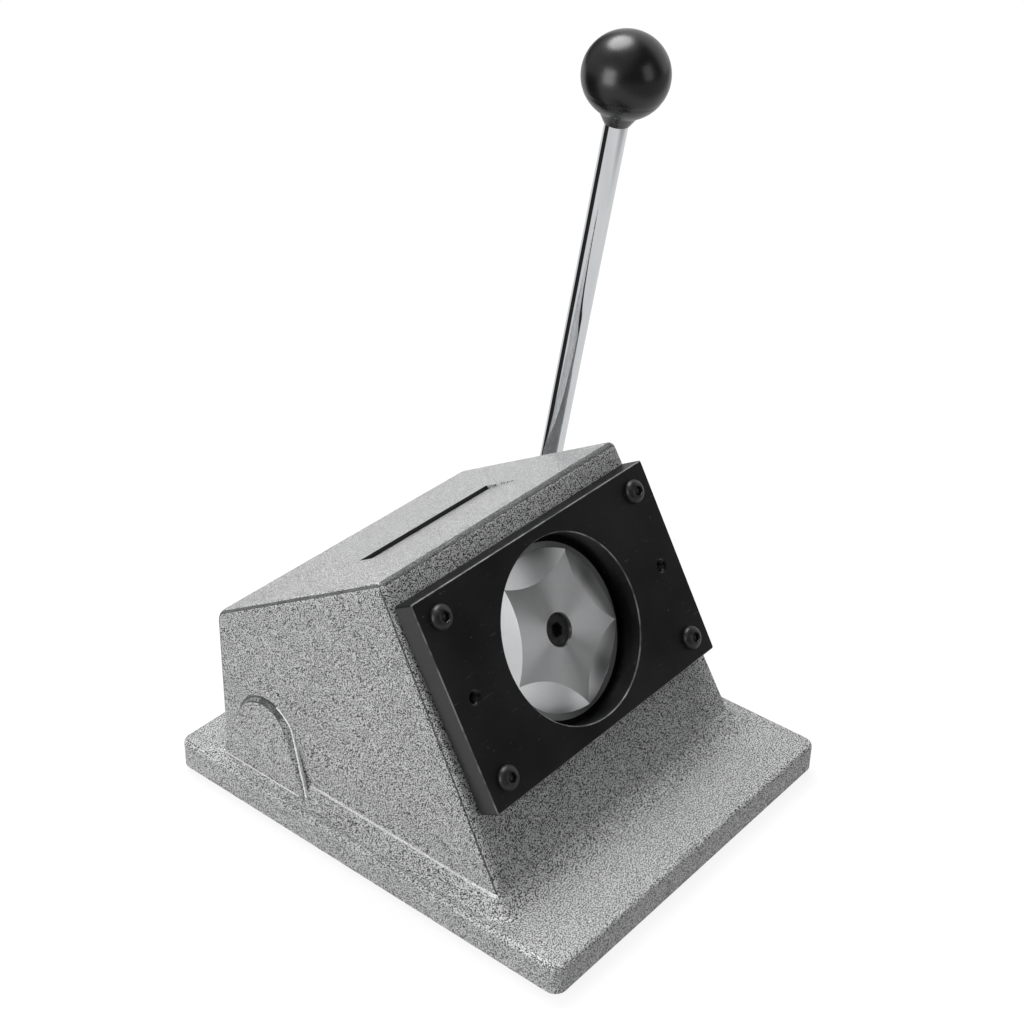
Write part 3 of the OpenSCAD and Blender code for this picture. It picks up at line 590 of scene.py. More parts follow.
class CUTTER_OT_casting(Operator):
    """Builds the cast body with its flange, fillet, side bulges and paper slot"""
    bl_idname = "cutter.casting"
    bl_label = "Casting"

    def execute(self, context):
        body = settings("casting")
        top, slope = body.flange_thickness, body.front_angle
        foot_y = -body.base_depth / 2 + body.front_setback
        heel_y = body.base_depth / 2 - body.back_setback
        brow = (foot_y + body.face_length * cos(slope),
                top + body.face_length * sin(slope))
        tail = (brow[0] + body.top_length * sin(slope),
                brow[1] - body.top_length * cos(slope))
        piece = mesh_piece("casting", self.flange(body, top))
        combine(piece, self.wedge(body, top, foot_y, heel_y, brow, tail), "UNION")
        combine(piece, self.fillet(body, top, foot_y, heel_y, tail), "UNION")
        lines = [self.boss_line(piece, body, side) for side in (-1, 1)]
        for side in (-1, 1):
            combine(piece, self.bulge(body, side), "UNION")
        self.hollow(piece, body, top, foot_y, heel_y)
        shade(piece, 32)
        # the same enamel in lighter colours for painted highlights, and in darker colours for
        # painted shade
        enamel_and_painted_light = [hammered_enamel("Hammered stove enamel", body.paint_light, body.paint_dark),
                  hammered_enamel("Enamel painted highlight", "#fbfbfb", "#b9baba"),
                  hammered_enamel("Enamel painted shade", "#6d6e6e", "#151616")]
        # the slot is cut after painting: bare iron, coloured near black as painted shade inside
        # the slot
        iron = plain_metal("Bare cast iron painted shade", "#262626", "#101010", 0.7, 1, metallic=0.3)
        finish_piece(piece, "frame", "hammertone", enamel_and_painted_light + [iron], "body_casting", "base_flange")
        self.mark(piece, body)
        # the boss's front flank catches the light, its crown lies in shade
        middle = shaft_place().translation.y
        for line in lines:
            finish_piece(line, "frame", "hammertone", enamel_and_painted_light)
            for face in line.data.polygons:
                pale = face.center.z < top + 2 * MM or face.center.y < middle - 6 * MM
                face.material_index = 1 if pale else 2
        return {"FINISHED"}

    def mark(self, piece, body):
        """Gives the line at the body's foot a painted highlight, the body's edges dark lines of
        painted shade, and the slot bare iron darkened with painted shade.
        """
        ledge = body.flange_thickness + body.fillet * (1 - cos(radians(FILLET_SWEEP)))
        back_to_face = face_place().inverted()
        face_out = Vector((0, -sin(body.front_angle), cos(body.front_angle)))
        top_out = Vector((0, cos(body.front_angle), sin(body.front_angle)))
        rise = body.face_length - settings("front").axis_height
        for face in piece.data.polygons:
            side = abs(face.normal.x)
            up, out = face.normal.dot(top_out), face.normal.dot(face_out)
            high = face.center.z > ledge + 12 * MM
            heights = [piece.data.vertices[i].co.z for i in face.vertices]
            spot = back_to_face @ face.center
            if min(heights) > ledge - NEAR and max(heights) < ledge + 0.35 * MM:
                # painted highlight along the body's foot; the right side's line ends before the
                # front corner, where it lies in shade
                x, y = face.center.x, face.center.y
                along = (abs(x) > body.foot_width / 2 - 1 * MM and abs(y) < FOOT_HIGHLIGHT_END
                         and (x < 0 or y > -60 * MM))
                face.material_index = 1 if along else 0
            elif (abs(spot.x) < body.slot_width / 2 + NEAR and spot.y < rise - 0.2 * MM
                  and -NEAR < spot.z + body.slot_depth < body.slot_gap + NEAR):
                # the slot's walls: bare iron with painted shade
                face.material_index = 3
            elif high and 0.45 < side < 0.93:
                # painted shade: dark lines run along the top's side edges and down the front ones
                if (up > 0.3 and side < 0.8) or (out > 0.3 and 0.7 < side < 0.85):
                    face.material_index = 2
            elif high and side < 0.3 and 0.35 < up < 0.93 and out > 0.3:
                # painted shade along the edge between the top and the front face
                face.material_index = 2

    def flange(self, body, top):
        """The slab with a soft upper edge."""
        loops = []
        edge = body.flange_edge
        for inset, z in ([(0.5 * MM, 0), (0, 0.5 * MM)]
                         + [(edge * (1 - cos(a)), top - edge * (1 - sin(a)))
                            for a in angles(*[11.25 * i for i in range(9)])]):
            half_x, half_y = body.base_width / 2 - inset, body.base_depth / 2 - inset
            loops.append(round_rectangle(-half_x, half_x, -half_y, half_y,
                                         body.flange_corner - inset, z))
        return loft(loops)

    def wedge(self, body, top, foot_y, heel_y, brow, tail):
        """The sloped body, rounded on every edge and cut off inside the flange."""
        low = top - body.fillet
        rear = [(tail[0] - TOP_ROUND * (1 - sin(a)),
                 tail[1] - TOP_ROUND * (tan(radians(30)) - cos(a)),
                 body.back_width) for a in angles(30, 45, 60, 75, 90)]
        outline = [(foot_y - body.fillet / tan(body.front_angle), low, body.foot_width),
                   (*brow, body.front_width), *rear, (heel_y, low, body.foot_width)]
        wedge = mesh_piece("wedge", loft([[(side * width / 2, y, z) for y, z, width in outline]
                                          for side in (-1, 1)]))
        bevel = wedge.modifiers.new("edges", "BEVEL")
        bevel.width = body.edge
        bevel.segments = 6
        bevel.limit_method = "ANGLE"
        bevel.angle_limit = radians(30)
        bevel.harden_normals = False
        settle(wedge)
        bm = take_mesh(wedge)
        bmesh.ops.bisect_plane(bm, geom=bm.verts[:] + bm.edges[:] + bm.faces[:],
                               plane_co=(0, 0, 2 * MM), plane_no=(0, 0, -1), clear_outer=True)
        bmesh.ops.holes_fill(bm, edges=[edge for edge in bm.edges if edge.is_boundary], sides=0)
        return bm

    def fillet(self, body, top, foot_y, heel_y, tail):
        """The hollow curve between the walls and the flange."""
        rise = tail[1] - top
        loops = []
        for a in angles(0, 0, 10, 20, 30, 40, 50, 60, FILLET_SWEEP, FILLET_SWEEP):
            height = body.fillet * (1 - cos(a))
            reach = body.fillet * (1 - sin(a))
            if not loops:
                height = -2 * MM
            if len(loops) == 9:
                # the curve stops short of the wall in a narrow ledge
                height += 0.25 * MM
                reach = -0.5 * MM
            up = max(0, height)
            half = (body.foot_width / 2
                    + (body.back_width - body.foot_width) / 2 * up / rise + reach)
            near = foot_y + up / tan(body.front_angle) - reach
            far = heel_y + (tail[0] - heel_y) * up / rise + reach
            loops.append(round_rectangle(-half, half, near, far, body.edge + max(0, reach),
                                         top + height))
        return loft(loops)

    def outline(self, body, a, grow):
        """A point of the boss's outline, in y and z: the shaft's circle and two feet."""
        shaft = shaft_place().translation
        top = body.flange_thickness
        circles = ((shaft.y, shaft.z, 15 * MM), (39.5 * MM, top, 2.5 * MM),
                   (82 * MM, top + 3.5 * MM, 3.5 * MM))
        y, z, r = max(circles, key=lambda c: c[0] * cos(a) + c[1] * sin(a) + c[2])
        r = max(0.4 * MM, r + grow)
        return y + r * cos(a), max(top - 1 * MM, z + r * sin(a))

    def bulge(self, body, side):
        """The raised boss over the pivot shaft, drawn down to the flange."""
        tip = body.boss_stand * 2
        steps = [(0, BOSS_DRAFT), (tip - BOSS_TIP, BOSS_TIP)]
        steps += [(tip - BOSS_TIP * (1 - sin(a)), BOSS_TIP - BOSS_TIP * (1 - cos(a)))
                  for a in angles(*[22.5 * i for i in range(1, 5)])]
        loops = []
        for out, grow in steps:
            points = [self.outline(body, 2 * pi * i / 120, grow) for i in range(120)]
            loops.append([(side * (self.boss_root(body, z) + out), y, z) for y, z in points])
        return loft(loops)

    def boss_root(self, body, z):
        """How far from the middle the boss starts; its face leans in with the height."""
        return (body.foot_width / 2 - body.boss_stand
                - BOSS_LEAN * (z - body.flange_thickness))

    def boss_line(self, piece, body, side):
        """A narrow raised line on the wall round the boss's foot, which carries painted highlight
        and painted shade.
        """
        bpy.context.view_layer.update()
        top, tip = body.flange_thickness, body.boss_stand * 2
        rings = [[], [], [], []]
        for i in range(120):
            a = 2 * pi * i / 120
            y, z = self.outline(body, a, 2 * MM)
            z = max(z, top + 0.5 * MM)
            wall = abs(piece.ray_cast((side * 0.2, y, z), (-side, 0, 0))[1][0])
            root = self.boss_root(body, z)
            wall = min(wall, root + tip - 0.4 * MM)
            grow = BOSS_DRAFT + (BOSS_TIP - BOSS_DRAFT) * (wall - root) / tip
            for ring, out, more in zip(rings, (-1.0, 0.25, 0.25, -1.0), (0.7, 0.7, -1.2, -1.2)):
                ring.append((side * (wall + out * MM), *self.outline(body, a, grow + more * MM)))
        bm = loft(rings + [rings[0]], False)
        bmesh.ops.remove_doubles(bm, verts=bm.verts, dist=1e-7)
        # and a straight one where the boss meets the fillet
        spot = (side * (body.foot_width / 2 + body.boss_stand - 0.1 * MM), 62 * MM,
                top + 1.25 * MM)
        bmesh.ops.create_cube(bm, size=1, matrix=Matrix.Translation(spot)
                              @ Matrix.Diagonal((0.5 * MM, 46 * MM, 0.5 * MM, 1)))
        return mesh_piece("boss_line_%s" % ("left" if side < 0 else "right"), bm)

    def hollow(self, piece, body, top, foot_y, heel_y):
        """The inside: cavity, sleeve tube, shaft bosses, bores and the paper slot."""
        front, under = settings("front"), settings("underside")
        face, shaft = face_place(), shaft_place() @ TURN
        slope = body.front_angle
        half = body.front_width / 2 - body.wall
        rise = body.face_length - front.axis_height
        axis = face.translation
        inner = rise - body.wall
        near = foot_y + body.wall / sin(slope)
        far = heel_y - body.wall
        combine(piece, prism([
            (near, -OVER), (near, top),
            (axis.y + cos(slope) * inner + sin(slope) * body.wall,
             axis.z + sin(slope) * inner - cos(slope) * body.wall),
            (far, axis.z + inner / sin(slope) - (far - axis.y) / tan(slope)),
            (far, -OVER)], -half, half))
        border = under.border + 0.2 * MM
        combine(piece, block((-half - border, near - border, -OVER),
                             (half + border, far + border, under.cover)))
        # the tube that carries the sleeves, cut level above the cover
        tube = mesh_piece("tube", cylinder(front.sleeve / 2 + TUBE_WALL, -front.guide_end,
                                           -3 * MM), face)
        combine(tube, block((-0.1, -0.1, 2.3 * MM), (0.1, 0.1, 0.2)), "INTERSECT")
        combine(piece, take_mesh(tube), "UNION")
        # the bearings of the pivot shaft
        for start, end in ((-half - OVER, -54 * MM), (54 * MM, half + OVER)):
            combine(piece, cylinder(20 * MM, start, end, 48), "UNION", shaft)
        wide, start = body.slot_width / 2, body.slot_depth
        slant = body.relief_length * (1 + OVER / body.relief_depth)
        for bm in (
                # the sleeves' bore, the paper slot and its sloped relief
                cylinder(front.sleeve / 2 + 0.1 * MM, -90 * MM, OVER),
                block((-wide, -50 * MM, -start), (wide, rise + OVER, -start + body.slot_gap)),
                prism([(rise - body.relief_depth, -start), (rise + OVER, -start),
                       (rise + OVER, -start + slant)], -wide, wide),
                # room for the crank behind the tube
                block((-18.1 * MM, 0, -90 * MM), (18.1 * MM, inner - 0.5 * MM, -66 * MM))):
            combine(piece, bm, place=face)
        combine(piece, cylinder(11.1 * MM, -78 * MM, 90 * MM, 48), place=shaft)


class CUTTER_OT_die_plate(Operator):
    """Builds the black die plate with its opening, screw holes and tapped holes"""
    bl_idname = "cutter.die_plate"
    bl_label = "Die Plate"

    def execute(self, context):
        front = settings("front")
        half_w, half_h = front.plate_width / 2, front.plate_height / 2
        thick, edge, reveal = front.plate_thickness, front.plate_chamfer, front.reveal
        loops = [round_rectangle(-half_w + i, half_w - i, -half_h + i, half_h - i, 0.8 * MM, z, 4)
                 for i, z in ((reveal, 0), (reveal, reveal), (0, reveal + 0.2 * MM),
                              (0, thick - edge), (edge, thick))]
        piece = mesh_piece("die_plate_dressed", loft(loops))
        hole = front.opening / 2
        combine(piece, lathe([(0, -OVER), (hole, -OVER), (hole, thick - edge),
                              (hole + edge, thick), (hole + edge + OVER, thick + OVER),
                              (0, thick + OVER)], 160))
        for across in (-1, 1):
            for up in (-1, 1):
                combine(piece, cylinder(3.3 * MM, -OVER, thick + OVER, 32),
                        place=Matrix.Translation((across * front.screws_across / 2,
                                                  up * front.screws_up / 2, 0)))
            combine(piece, self.tapped(front, thick),
                    place=Matrix.Translation((across * front.tapped_across / 2, 0, 0)))
        place = face_place()
        piece.data.transform(place)
        shade(piece, 25)
        # the short sides get a greyer black with more sheen, painted light where lamp light falls
        # on them, and the long sides get less sheen, painted shade that holds their reflection
        # down
        finish_piece(piece, "frame", "black_plate", [
            blackened_plate("Blackened ground steel", front.plate_colour, 0.35), worn_edge(),
            blackened_plate("Blackened steel painted light", "#1c1c1d", 0.5),
            blackened_plate("Blackened steel painted shade", front.plate_colour, 0.12)], "die_plate")
        out = place.to_3x3() @ Vector((0, 0, 1))
        up = place.to_3x3() @ Vector((0, 1, 0))
        for face in piece.data.polygons:
            spot = place.inverted() @ face.center
            from_tapped = hypot(abs(spot.x) - front.tapped_across / 2, spot.y)
            if 0.55 < face.normal.dot(out) < 0.85 and from_tapped > 5 * MM:
                face.material_index = 1
            elif abs(face.normal.dot(up)) > 0.95 and abs(spot.y) > half_h - reveal - NEAR:
                # painted shade: less sheen on the long sides
                face.material_index = 3
            elif abs(face.center.x) > half_w - NEAR:
                # painted light: a greyer black on the short sides
                face.material_index = 2
        return {"FINISHED"}

    def tapped(self, front, thick):
        """The hollow of a tapped hole: a countersink and thread grooves."""
        root, pitch = front.thread / 2, front.thread_pitch
        crest = root - 0.45 * MM
        profile = [(0, thick - front.tapped_depth)]
        for i in range(int(front.tapped_depth / pitch)):
            z = thick - front.tapped_depth + i * pitch
            profile += [(crest, z), (root, z + pitch / 2)]
        profile += [(crest, thick - 0.5 * MM), (root + 0.3 * MM, thick),
                    (root + 1.3 * MM, thick + OVER), (0, thick + OVER)]
        return lathe(profile, 40)


class CUTTER_OT_plate_screws(Operator):
    """Builds the four button head screws of the die plate"""
    bl_idname = "cutter.plate_screws"
    bl_label = "Plate Screws"

    def execute(self, context):
        front = settings("front")
        made = black_oxide()
        base = front.plate_thickness
        r, h, shank = front.head_radius, front.head_height, front.thread / 2
        # a dome with a small cylindrical rim and a flat land round the socket
        sweep, rim = 62, 0.5 * MM
        dome = [(r * cos(a),
                 base + rim + (h - rim) * sin(a) / sin(radians(sweep)))
                for a in angles(*[sweep * i / 12 for i in range(13)])]
        profile = [(0, base - 20 * MM), (shank - 0.6 * MM, base - 20 * MM),
                   (shank, base - 19 * MM), (shank, base), (r - 0.15 * MM, base),
                   (r, base + 0.15 * MM), *dome, (0, base + h)]
        corner = front.socket / 2 / cos(pi / 6)
        # each socket stands at its own angle, as screws come to rest
        spots = ((-1, 1, 8), (1, 1, 31), (1, -1, 17), (-1, -1, 44))
        for index, (across, up, turn) in enumerate(spots):
            screw = mesh_piece("plate_screw_%d" % (index + 1), lathe(profile, 64))
            socket = loft([hexagon(s, base + h + z * MM) for s, z in (
                (corner * 0.5, -2.6), (corner, -2), (corner, -0.2), (corner + 0.3 * MM, 0.1),
                (corner + 0.3 * MM, 1))])
            combine(screw, socket, place=Matrix.Rotation(radians(turn), 4, "Z"))
            screw.data.transform(face_place() @ Matrix.Translation(
                (across * front.screws_across / 2, up * front.screws_up / 2, 0)))
            shade(screw, 40)
            finish_piece(screw, "frame", "black_oxide", [made])
        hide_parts("plate_screws")
        return {"FINISHED"}


class CUTTER_OT_punch_and_die(Operator):
    """Finishes the punch, its screw and the two sleeves"""
    bl_idname = "cutter.punch_and_die"
    bl_label = "Punch and Die"

    def execute(self, context):
        # the face is turned on a lathe, and rings 0.45 mm apart draw the light into cones
        dress(turned_steel("Turned tool steel", "#f4f5f6", "#c6c7c9", 0.3,
                           settings("front").turning_pitch, 0.03 * MM, 0.25, 0.9), "punch_head")
        # ground rings, with grinding marks 0.3 mm apart
        dress(turned_steel("Ground die steel", "#c9cacb", "#8c8d8f", 0.22, 0.3 * MM, 0.02 * MM,
                           0.2), "guide_sleeve")
        dress(turned_steel("Ground cutting edge", "#c4c5c6", "#8f9092", 0.3, 0.3 * MM,
                           0.02 * MM, 0.2, 0.6, 37.8 * MM), "die_sleeve")
        dress(bpy.data.materials["Black oxide steel"], "punch_screw")
        return {"FINISHED"}


class CUTTER_OT_lever_bar(Operator):
    """Builds the plated lever bar and its lock nut"""
    bl_idname = "cutter.lever_bar"
    bl_label = "Lever Bar"

    def execute(self, context):
        lever = settings("lever")
        r, start, soft = lever.rod / 2, lever.neck_end, 0.6 * MM
        end = lever.reach - lever.collar_start + 12 * MM
        # chrome over polished steel: a bright mirror with the faintest draw marks along the bar
        chrome = plain_metal("Polished chrome plate", "#e4e6e8", "#cfd1d4", 0.07, 2.5,
                             (1.0, 1.0, 0.05))
        tang = 4 * MM
        bar = mesh_piece("lever_bar", lathe(
            [(0, start - 9 * MM), (3.4 * MM, start - 9 * MM), (tang, start - 8.4 * MM),
             (tang, start), (r - soft, start), (r, start + soft), (r, end - 0.5 * MM),
             (r - 0.5 * MM, end), (0, end)]), lever_place())
        shade(bar, 30)
        finish_piece(bar, "lever", "chrome", [chrome], "lever_rod")
        # a hexagon turned off at both ends, as a nut is
        flat, tall = 7 * MM, 5 * MM
        corner = flat * 2 / sqrt(3)
        nut = mesh_piece("bar_nut", loft([hexagon(corner, z) for z in (0, tall)]))
        combine(nut, lathe([(0, 0), (flat, 0), (corner, 0.9 * MM), (corner, tall - 0.9 * MM),
                            (flat, tall), (0, tall)], 72), "INTERSECT")
        combine(nut, cylinder(r, -OVER, tall + OVER, 64))
        nut.data.transform(lever_place() @ Matrix.Translation((0, 0, start)))
        shade(nut, 25)
        finish_piece(nut, "lever", "chrome", [chrome], "rod_nut")
        return {"FINISHED"}


class CUTTER_OT_ball_knob(Operator):
    """Builds the moulded ball knob with its seam and collar"""
    bl_idname = "cutter.ball_knob"
    bl_label = "Ball Knob"

    def execute(self, context):
        lever = settings("lever")
        r, collar, foot = lever.knob / 2, lever.collar_radius, -lever.collar_start
        mouth = 5.35 * MM
        # from the bore at the foot, round the collar's lip, up its cone and over the ball
        profile = [(0, foot + 16 * MM), (mouth, foot + 16 * MM), (mouth, foot + 0.3 * MM),
                   (mouth + 0.2 * MM, foot), (collar - 0.2 * MM, foot),
                   (collar, foot + 0.25 * MM)]
        start = -pi / 2 + asin((collar + 2.9 * MM) / r)
        count = 60
        seam, half_seam = angles(-24, 1.2)
        for i in range(count + 1):
            a = start + (pi / 2 - start) * i / count
            rim = r - (lever.seam * 0.5 if abs(a - seam) < half_seam else 0)
            profile.append((rim * cos(a) if i < count else 0, rim * sin(a)))
        ball = mesh_piece("ball_knob_moulded", lathe(profile, 128),
                          lever_place() @ Matrix.Translation((0, 0, lever.reach)))
        shade(ball, 50)
        finish_piece(ball, "lever", "black_phenolic", [moulded_phenolic()], "ball_knob")
        return {"FINISHED"}


class CUTTER_OT_hub(Operator):
    """Builds the lever hub and finishes what holds it on the shaft"""
    bl_idname = "cutter.hub"
    bl_label = "Lever Hub"

    def execute(self, context):
        lever = settings("lever")
        shaft = shaft_place() @ TURN
        near, far = lever.plane - lever.hub_width / 2, lever.plane + lever.hub_width / 2
        r, soft, chamfer = lever.hub / 2, 1.2 * MM, 1.5 * MM
        hub = mesh_piece("lever_hub_turned", lathe(
            [(0, near), (r - soft, near), (r - 0.3 * soft, near + 0.3 * soft), (r, near + soft),
             (r, far - soft), (r - 0.3 * soft, far - 0.3 * soft), (r - soft, far), (0, far)]),
                         shaft)
        neck, end = lever.hub_neck, lever.neck_end
        combine(hub, lathe([(0, 0), (neck, 0), (neck, end - chamfer),
                            (neck - chamfer, end), (0, end)]), "UNION", lever_place())
        # the bores of the shaft, the bar's tang and the clamp screw
        combine(hub, cylinder(lever.shaft / 2, near - OVER, far + OVER), place=shaft)
        combine(hub, cylinder(4 * MM, end - 10 * MM, end + OVER, 48), place=lever_place())
        combine(hub, cylinder(3 * MM, -20 * MM, -7 * MM, 40), place=lever_place())
        shade(hub, 28)
        # steel turned from bar, with feed marks about 0.5 mm apart
        steel = plain_metal("Turned steel", "#a9abad", "#85878a", 0.30, 0.5, (6.0, 1.0, 1.0))
        finish_piece(hub, "lever", "machined_steel", [steel], "lever_hub")
        dress(plain_metal("Zinc plate", "#bfc1c3", "#9fa1a4", 0.24, 2), "hub_washer")
        dress(bpy.data.materials["Black oxide steel"], "hub_end_screw", "hub_screw")
        # brass insert moulded into the knob
        dress(plain_metal("Turned brass", "#c9a760", "#a8853f", 0.25, 0.6), "knob_insert")
        return {"FINISHED"}


class CUTTER_OT_mechanism(Operator):
    """Finishes the crank, the link, the ram and the bushes inside the body"""
    bl_idname = "cutter.mechanism"
    bl_label = "Crank Mechanism"

    def execute(self, context):
        # milled faces show feed marks about 1 mm apart
        dress(plain_metal("Milled steel", "#9a9c9f", "#6f7275", 0.36, 0.8, (1.0, 0.2, 1.0)),
              "ram", "link", "crank_web_left", "crank_web_right", "paper_stop")
        # pins are ground and polished
        dress(plain_metal("Ground pin steel", "#c6c8ca", "#a6a8ab", 0.18, 0.6),
              "pivot_shaft", "crank_pin", "wrist_pin")
        # sintered bronze: warm, dull and slightly porous
        dress(plain_metal("Sintered bronze", "#b48a52", "#87612f", 0.42, 0.5),
              "link_bushes", "shaft_bush_left", "shaft_bush_right")
        dress(bpy.data.materials["Turned steel"], "crank_keys")
        dress(bpy.data.materials["Black oxide steel"], "wrist_pin_clips", "sleeve_screws")
        return {"FINISHED"}


class CUTTER_OT_underside(Operator):
    """Builds the bottom cover and the rubber feet, and finishes their screws"""
    bl_idname = "cutter.underside"
    bl_label = "Underside"

    def execute(self, context):
        body = settings("casting")
        under = settings("underside")
        lo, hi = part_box("bottom_cover")
        edge, cut = 0.3 * MM, under.cover_cut
        loops = [[(x, y, z) for x, y in (
            (hi[0] - i, hi[1] - cut), (hi[0] - cut, hi[1] - i),
            (lo[0] + cut, hi[1] - i), (lo[0] + i, hi[1] - cut),
            (lo[0] + i, lo[1] + cut), (lo[0] + cut, lo[1] + i),
            (hi[0] - cut, lo[1] + i), (hi[0] - i, lo[1] + cut))]
                 for i, z in ((edge, lo[2]), (0, lo[2] + edge), (0, hi[2] - edge), (edge, hi[2]))]
        cover = mesh_piece("cover_sheet", loft(loops))
        slo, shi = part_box("cover_screws")
        head, gap = under.screw_head / 2, 0.05 * MM
        shank = under.screw / 2 + 2 * gap
        for x in (slo[0] + head, shi[0] - head):
            for y in (slo[1] + head, shi[1] - head):
                combine(cover, lathe([
                    (0, -OVER), (head + gap, -OVER), (head + gap, 0), (shank, under.screw_sink),
                    (shank, 4 * MM), (0, 4 * MM)], 48), place=Matrix.Translation((x, y, 0)))
        shade(cover, 30)
        # cold-rolled sheet with a thin black paint that shows its rolling grain
        sheet = plain_metal("Painted sheet steel", "#3c3d3f", "#2c2d2e", 0.42, 1.5,
                            (1.0, 0.1, 1.0), 0.3)
        finish_piece(cover, "frame", "sheet_steel", [sheet], "bottom_cover")
        rubber = foot_rubber()
        r, tall, hole = under.foot / 2, under.foot_height, 2.3 * MM
        half_x = body.base_width / 2 - under.foot_inset
        half_y = body.base_depth / 2 - under.foot_inset
        feet = []
        for sx, sy in ((-1, -1), (-1, 1), (1, -1), (1, 1)):
            foot = mesh_piece("foot_%d" % (len(feet) + 1), lathe(
                [(hole, 0), (r - 0.2 * MM, 0), (r, -0.25 * MM), (r, -tall + 0.7 * MM),
                 (r - 0.25 * MM, -tall + 0.2 * MM), (r - 0.8 * MM, -tall), (4.6 * MM, -tall),
                 (4.3 * MM, -tall + 0.3 * MM), (4.3 * MM, -tall + 1.4 * MM),
                 (hole, -tall + 1.4 * MM), (hole, 0)], 64),
                              Matrix.Translation((sx * half_x, sy * half_y, 0)))
            shade(foot, 40)
            finish_piece(foot, "frame", "foot_rubber", [rubber])
            feet.append(foot)
        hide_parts("rubber_feet")
        dress(bpy.data.materials["Black oxide steel"], "cover_screws", "foot_screws")
        return {"FINISHED"}


class CUTTER_OT_studio(Operator):
    """Sets the floor, the backdrop light, the lamps and the camera"""
    bl_idname = "cutter.studio"
    bl_label = "Studio"

    def execute(self, context):
        studio = settings("studio")
        self.floor(studio)
        self.world(context.scene, studio)
        # one wide round softbox above, and two upright ones on the left and in front
        self.lamp("top", (0.25, 0.5, 1.45), 1.0, 1.0, studio.top_power)
        self.lamp("left", (-1.35, 0.2, 0.45), 0.8, 0.9, studio.left_power)
        self.lamp("front", (0.25, -1.3, 0.65), 0.6, 0.8, studio.front_power)
        self.camera(context.scene, studio)
        return {"FINISHED"}

    def floor(self, studio):
        """A white sheet that the camera sees as white and that keeps the shadow."""
        loops = [[(4 * x, 4 * y, -settings("underside").foot_height - z) for x, y in
                  ((-1, -1), (1, -1), (1, 1), (-1, 1))] for z in (0.002, 0.0)]
        floor = mesh_piece("floor", loft(loops))
        made, add, shader, place = new_material("White studio paper")
        # paper tooth of about 1 mm
        tooth = add("TexNoise", [place, scale(1.2), 1.0])
        tone = add("Mix", [tooth, "#fafafa", "#ffffff"], data_type="RGBA")
        path = add("LightPath")
        camera, glossy = path.outputs["Is Camera Ray"], path.outputs["Is Glossy Ray"]
        # the camera sees white paper; what it throws back at the machine is held down
        paper = add("Mix", [camera, "#a8a8a8", tone], data_type="RGBA")
        fill(shader, {"Base Color": paper, "Roughness": 0.95, "Specular IOR Level": 0.1})
        # gloss sees the sheet end in front of the machine, where a dark room begins
        along = add("VectorMath", [place, (0.2, -0.98, 0.0)], operation="DOT_PRODUCT")
        near = add("MapRange", [along, studio.sheet_end, studio.sheet_end + 0.12, 0.8, 0.4],
                   **SMOOTH)
        # a black card at the left behind the machine draws the dark line along the bar
        rel = add("VectorMath", [place, (0.0985, 0.04, 0.0)], operation="SUBTRACT")
        ray = add("VectorMath", [rel], operation="NORMALIZE")
        aim = add("VectorMath", [ray, (-0.5, 0.866, 0.0)], operation="DOT_PRODUCT")
        card = add("MapRange", [aim, 0.88, 0.92, 1.0, 0.03], **SMOOTH)
        sheet = add("Math", [near, card], operation="MULTIPLY")
        gloss = add("Math", [sheet, glossy], operation="MULTIPLY")
        bright = add("Math", [gloss, camera], operation="ADD")
        # away from the machine, where no shadow falls, the paper is plain white
        away = add("VectorMath", [place], operation="LENGTH")
        plain = add("MapRange", [away, 0.35, 1.0, studio.whiteness, 1.0], **SMOOTH)
        seen = add("Math", [camera, plain], operation="MULTIPLY")
        share = add("Math", [seen, glossy], operation="MAXIMUM")
        glow = add("Emission", ["#ffffff", bright])
        both = add("MixShader", [share, shader, glow])
        fill(made.node_tree.nodes["Material Output"], [both])
        floor.data.materials.append(made)

    def world(self, scene, studio):
        """Even light from all sides, which the camera sees as white."""
        world = bpy.data.worlds.new("studio")
        scene.world = world
        world.use_nodes = True
        tree = world.node_tree
        tree.nodes.clear()
        add = partial(add_node, tree)
        path = add("LightPath")
        # the room is bright above, behind and on the left, and dark in front on the right
        way = add("TexCoord").outputs["Generated"]
        bright = add("VectorMath", [way, (-0.52, 0.42, 0.74)], operation="DOT_PRODUCT")
        room = add("MapRange", [bright, -0.15, 0.75, studio.gloom, studio.sky], **SMOOTH)
        # gloss sees a dark room with a pale wall on the right and one behind on the left
        right = add("VectorMath", [way, (0.98, 0.1, 0.17)], operation="DOT_PRODUCT")
        wall = add("MapRange", [right, 0.62, 0.82, 0.05, 0.9], **SMOOTH)
        back = add("MapRange", [bright, 0.2, 0.8, 0.05, 0.5], **SMOOTH)
        walls = add("Math", [wall, back], operation="MAXIMUM")
        level = add("Mix", [path.outputs["Is Glossy Ray"], room, walls])
        soft = add("Background", ["#ffffff", level])
        white = add("Background", ["#ffffff", 1.0])
        both = add("MixShader", [path.outputs["Is Camera Ray"], soft, white])
        add("OutputWorld", [both])

    def lamp(self, name, place, wide, tall, power):
        """One softbox, turned to the machine. The camera doesn't see it, but gloss does."""
        data = bpy.data.lights.new(name, "AREA")
        data.shape = "ELLIPSE" if wide == tall else "RECTANGLE"
        data.size = wide
        data.size_y = tall
        data.energy = power
        lamp = bpy.data.objects.new(name, data)
        lamp.location = place
        aim = Vector(place) - Vector((0, 0, 0.1))
        lamp.rotation_euler = aim.to_track_quat("Z", "Y").to_euler()
        lamp.visible_camera = False
        bpy.context.scene.collection.objects.link(lamp)

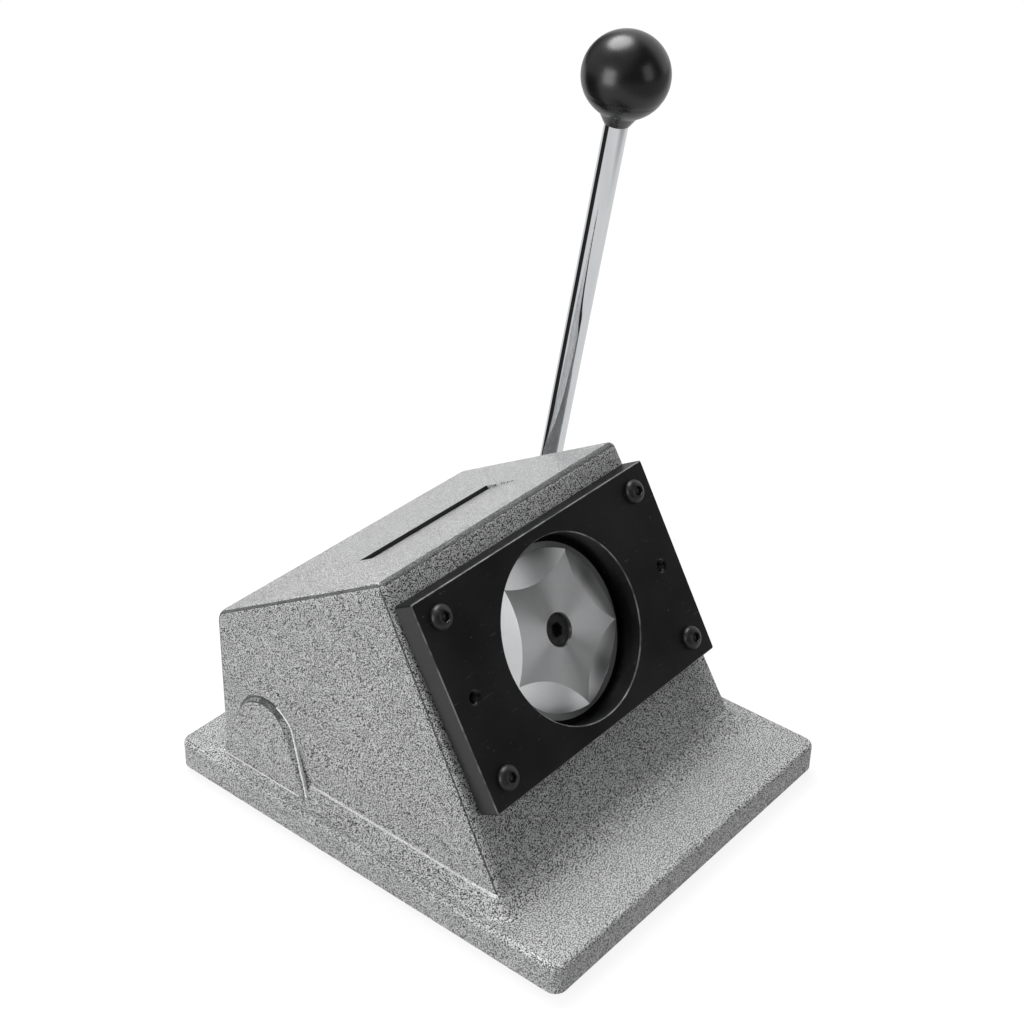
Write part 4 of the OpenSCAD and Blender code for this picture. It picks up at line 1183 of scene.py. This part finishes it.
    def camera(self, scene, studio):
        """The camera of the photograph, from its fitted place and axes."""
        right = Vector((0.642885, -0.765816, 0.014963))
        down = Vector((-0.377787, -0.334016, -0.863545))
        ahead = Vector((0.666315, 0.549508, -0.50405))
        width = 1024    # of the picture, in pixels
        data = bpy.data.cameras.new("camera")
        data.sensor_fit = "HORIZONTAL"
        data.angle = 2 * atan(width / 2 / studio.focal_pixels)
        data.shift_x = (width / 2 - studio.centre_x) / width
        data.shift_y = (studio.centre_y - width / 2) / width
        data.clip_start = 0.01
        camera = bpy.data.objects.new("camera", data)
        turn = Matrix((right, -down, -ahead)).transposed().normalized()
        camera.matrix_world = Matrix.Translation(studio.camera_place) @ turn.to_4x4()
        scene.collection.objects.link(camera)
        scene.camera = camera
        scene.view_settings.view_transform = "Standard"


class CUTTER_PT_panel(Panel):
    """Lists the cutter's pieces in the sidebar"""
    bl_idname = "CUTTER_PT_panel"
    bl_label = "Paper Circle Cutter"
    bl_space_type = "VIEW_3D"
    bl_region_type = "UI"
    bl_category = "Cutter"

    def draw(self, context):
        for operator in OPERATORS:
            self.layout.operator(operator.bl_idname)
        for name in GROUPS:
            group = settings(name)
            box = self.layout.box()
            box.label(text=name.title())
            for key in group.__annotations__:
                box.prop(group, key)


GROUPS = {
    "casting": CUTTER_PG_casting,
    "front": CUTTER_PG_front,
    "lever": CUTTER_PG_lever,
    "underside": CUTTER_PG_underside,
    "studio": CUTTER_PG_studio,
}
OPERATORS = (
    CUTTER_OT_casting,
    CUTTER_OT_die_plate,
    CUTTER_OT_plate_screws,
    CUTTER_OT_punch_and_die,
    CUTTER_OT_lever_bar,
    CUTTER_OT_ball_knob,
    CUTTER_OT_hub,
    CUTTER_OT_mechanism,
    CUTTER_OT_underside,
    CUTTER_OT_studio,
)


def register():
    for group in GROUPS.values():
        bpy.utils.register_class(group)
    for name, group in GROUPS.items():
        setattr(bpy.types.Scene, "cutter_" + name, PointerProperty(type=group))
    for operator in (*OPERATORS, CUTTER_PT_panel):
        bpy.utils.register_class(operator)


def unregister():
    for operator in (CUTTER_PT_panel, *reversed(OPERATORS)):
        bpy.utils.unregister_class(operator)
    for name, group in GROUPS.items():
        delattr(bpy.types.Scene, "cutter_" + name)
        bpy.utils.unregister_class(group)


def main():
    register()
    for operator in OPERATORS:
        group, name = operator.bl_idname.split(".")
        getattr(getattr(bpy.ops, group), name)()


if __name__ == "__main__":
    main()
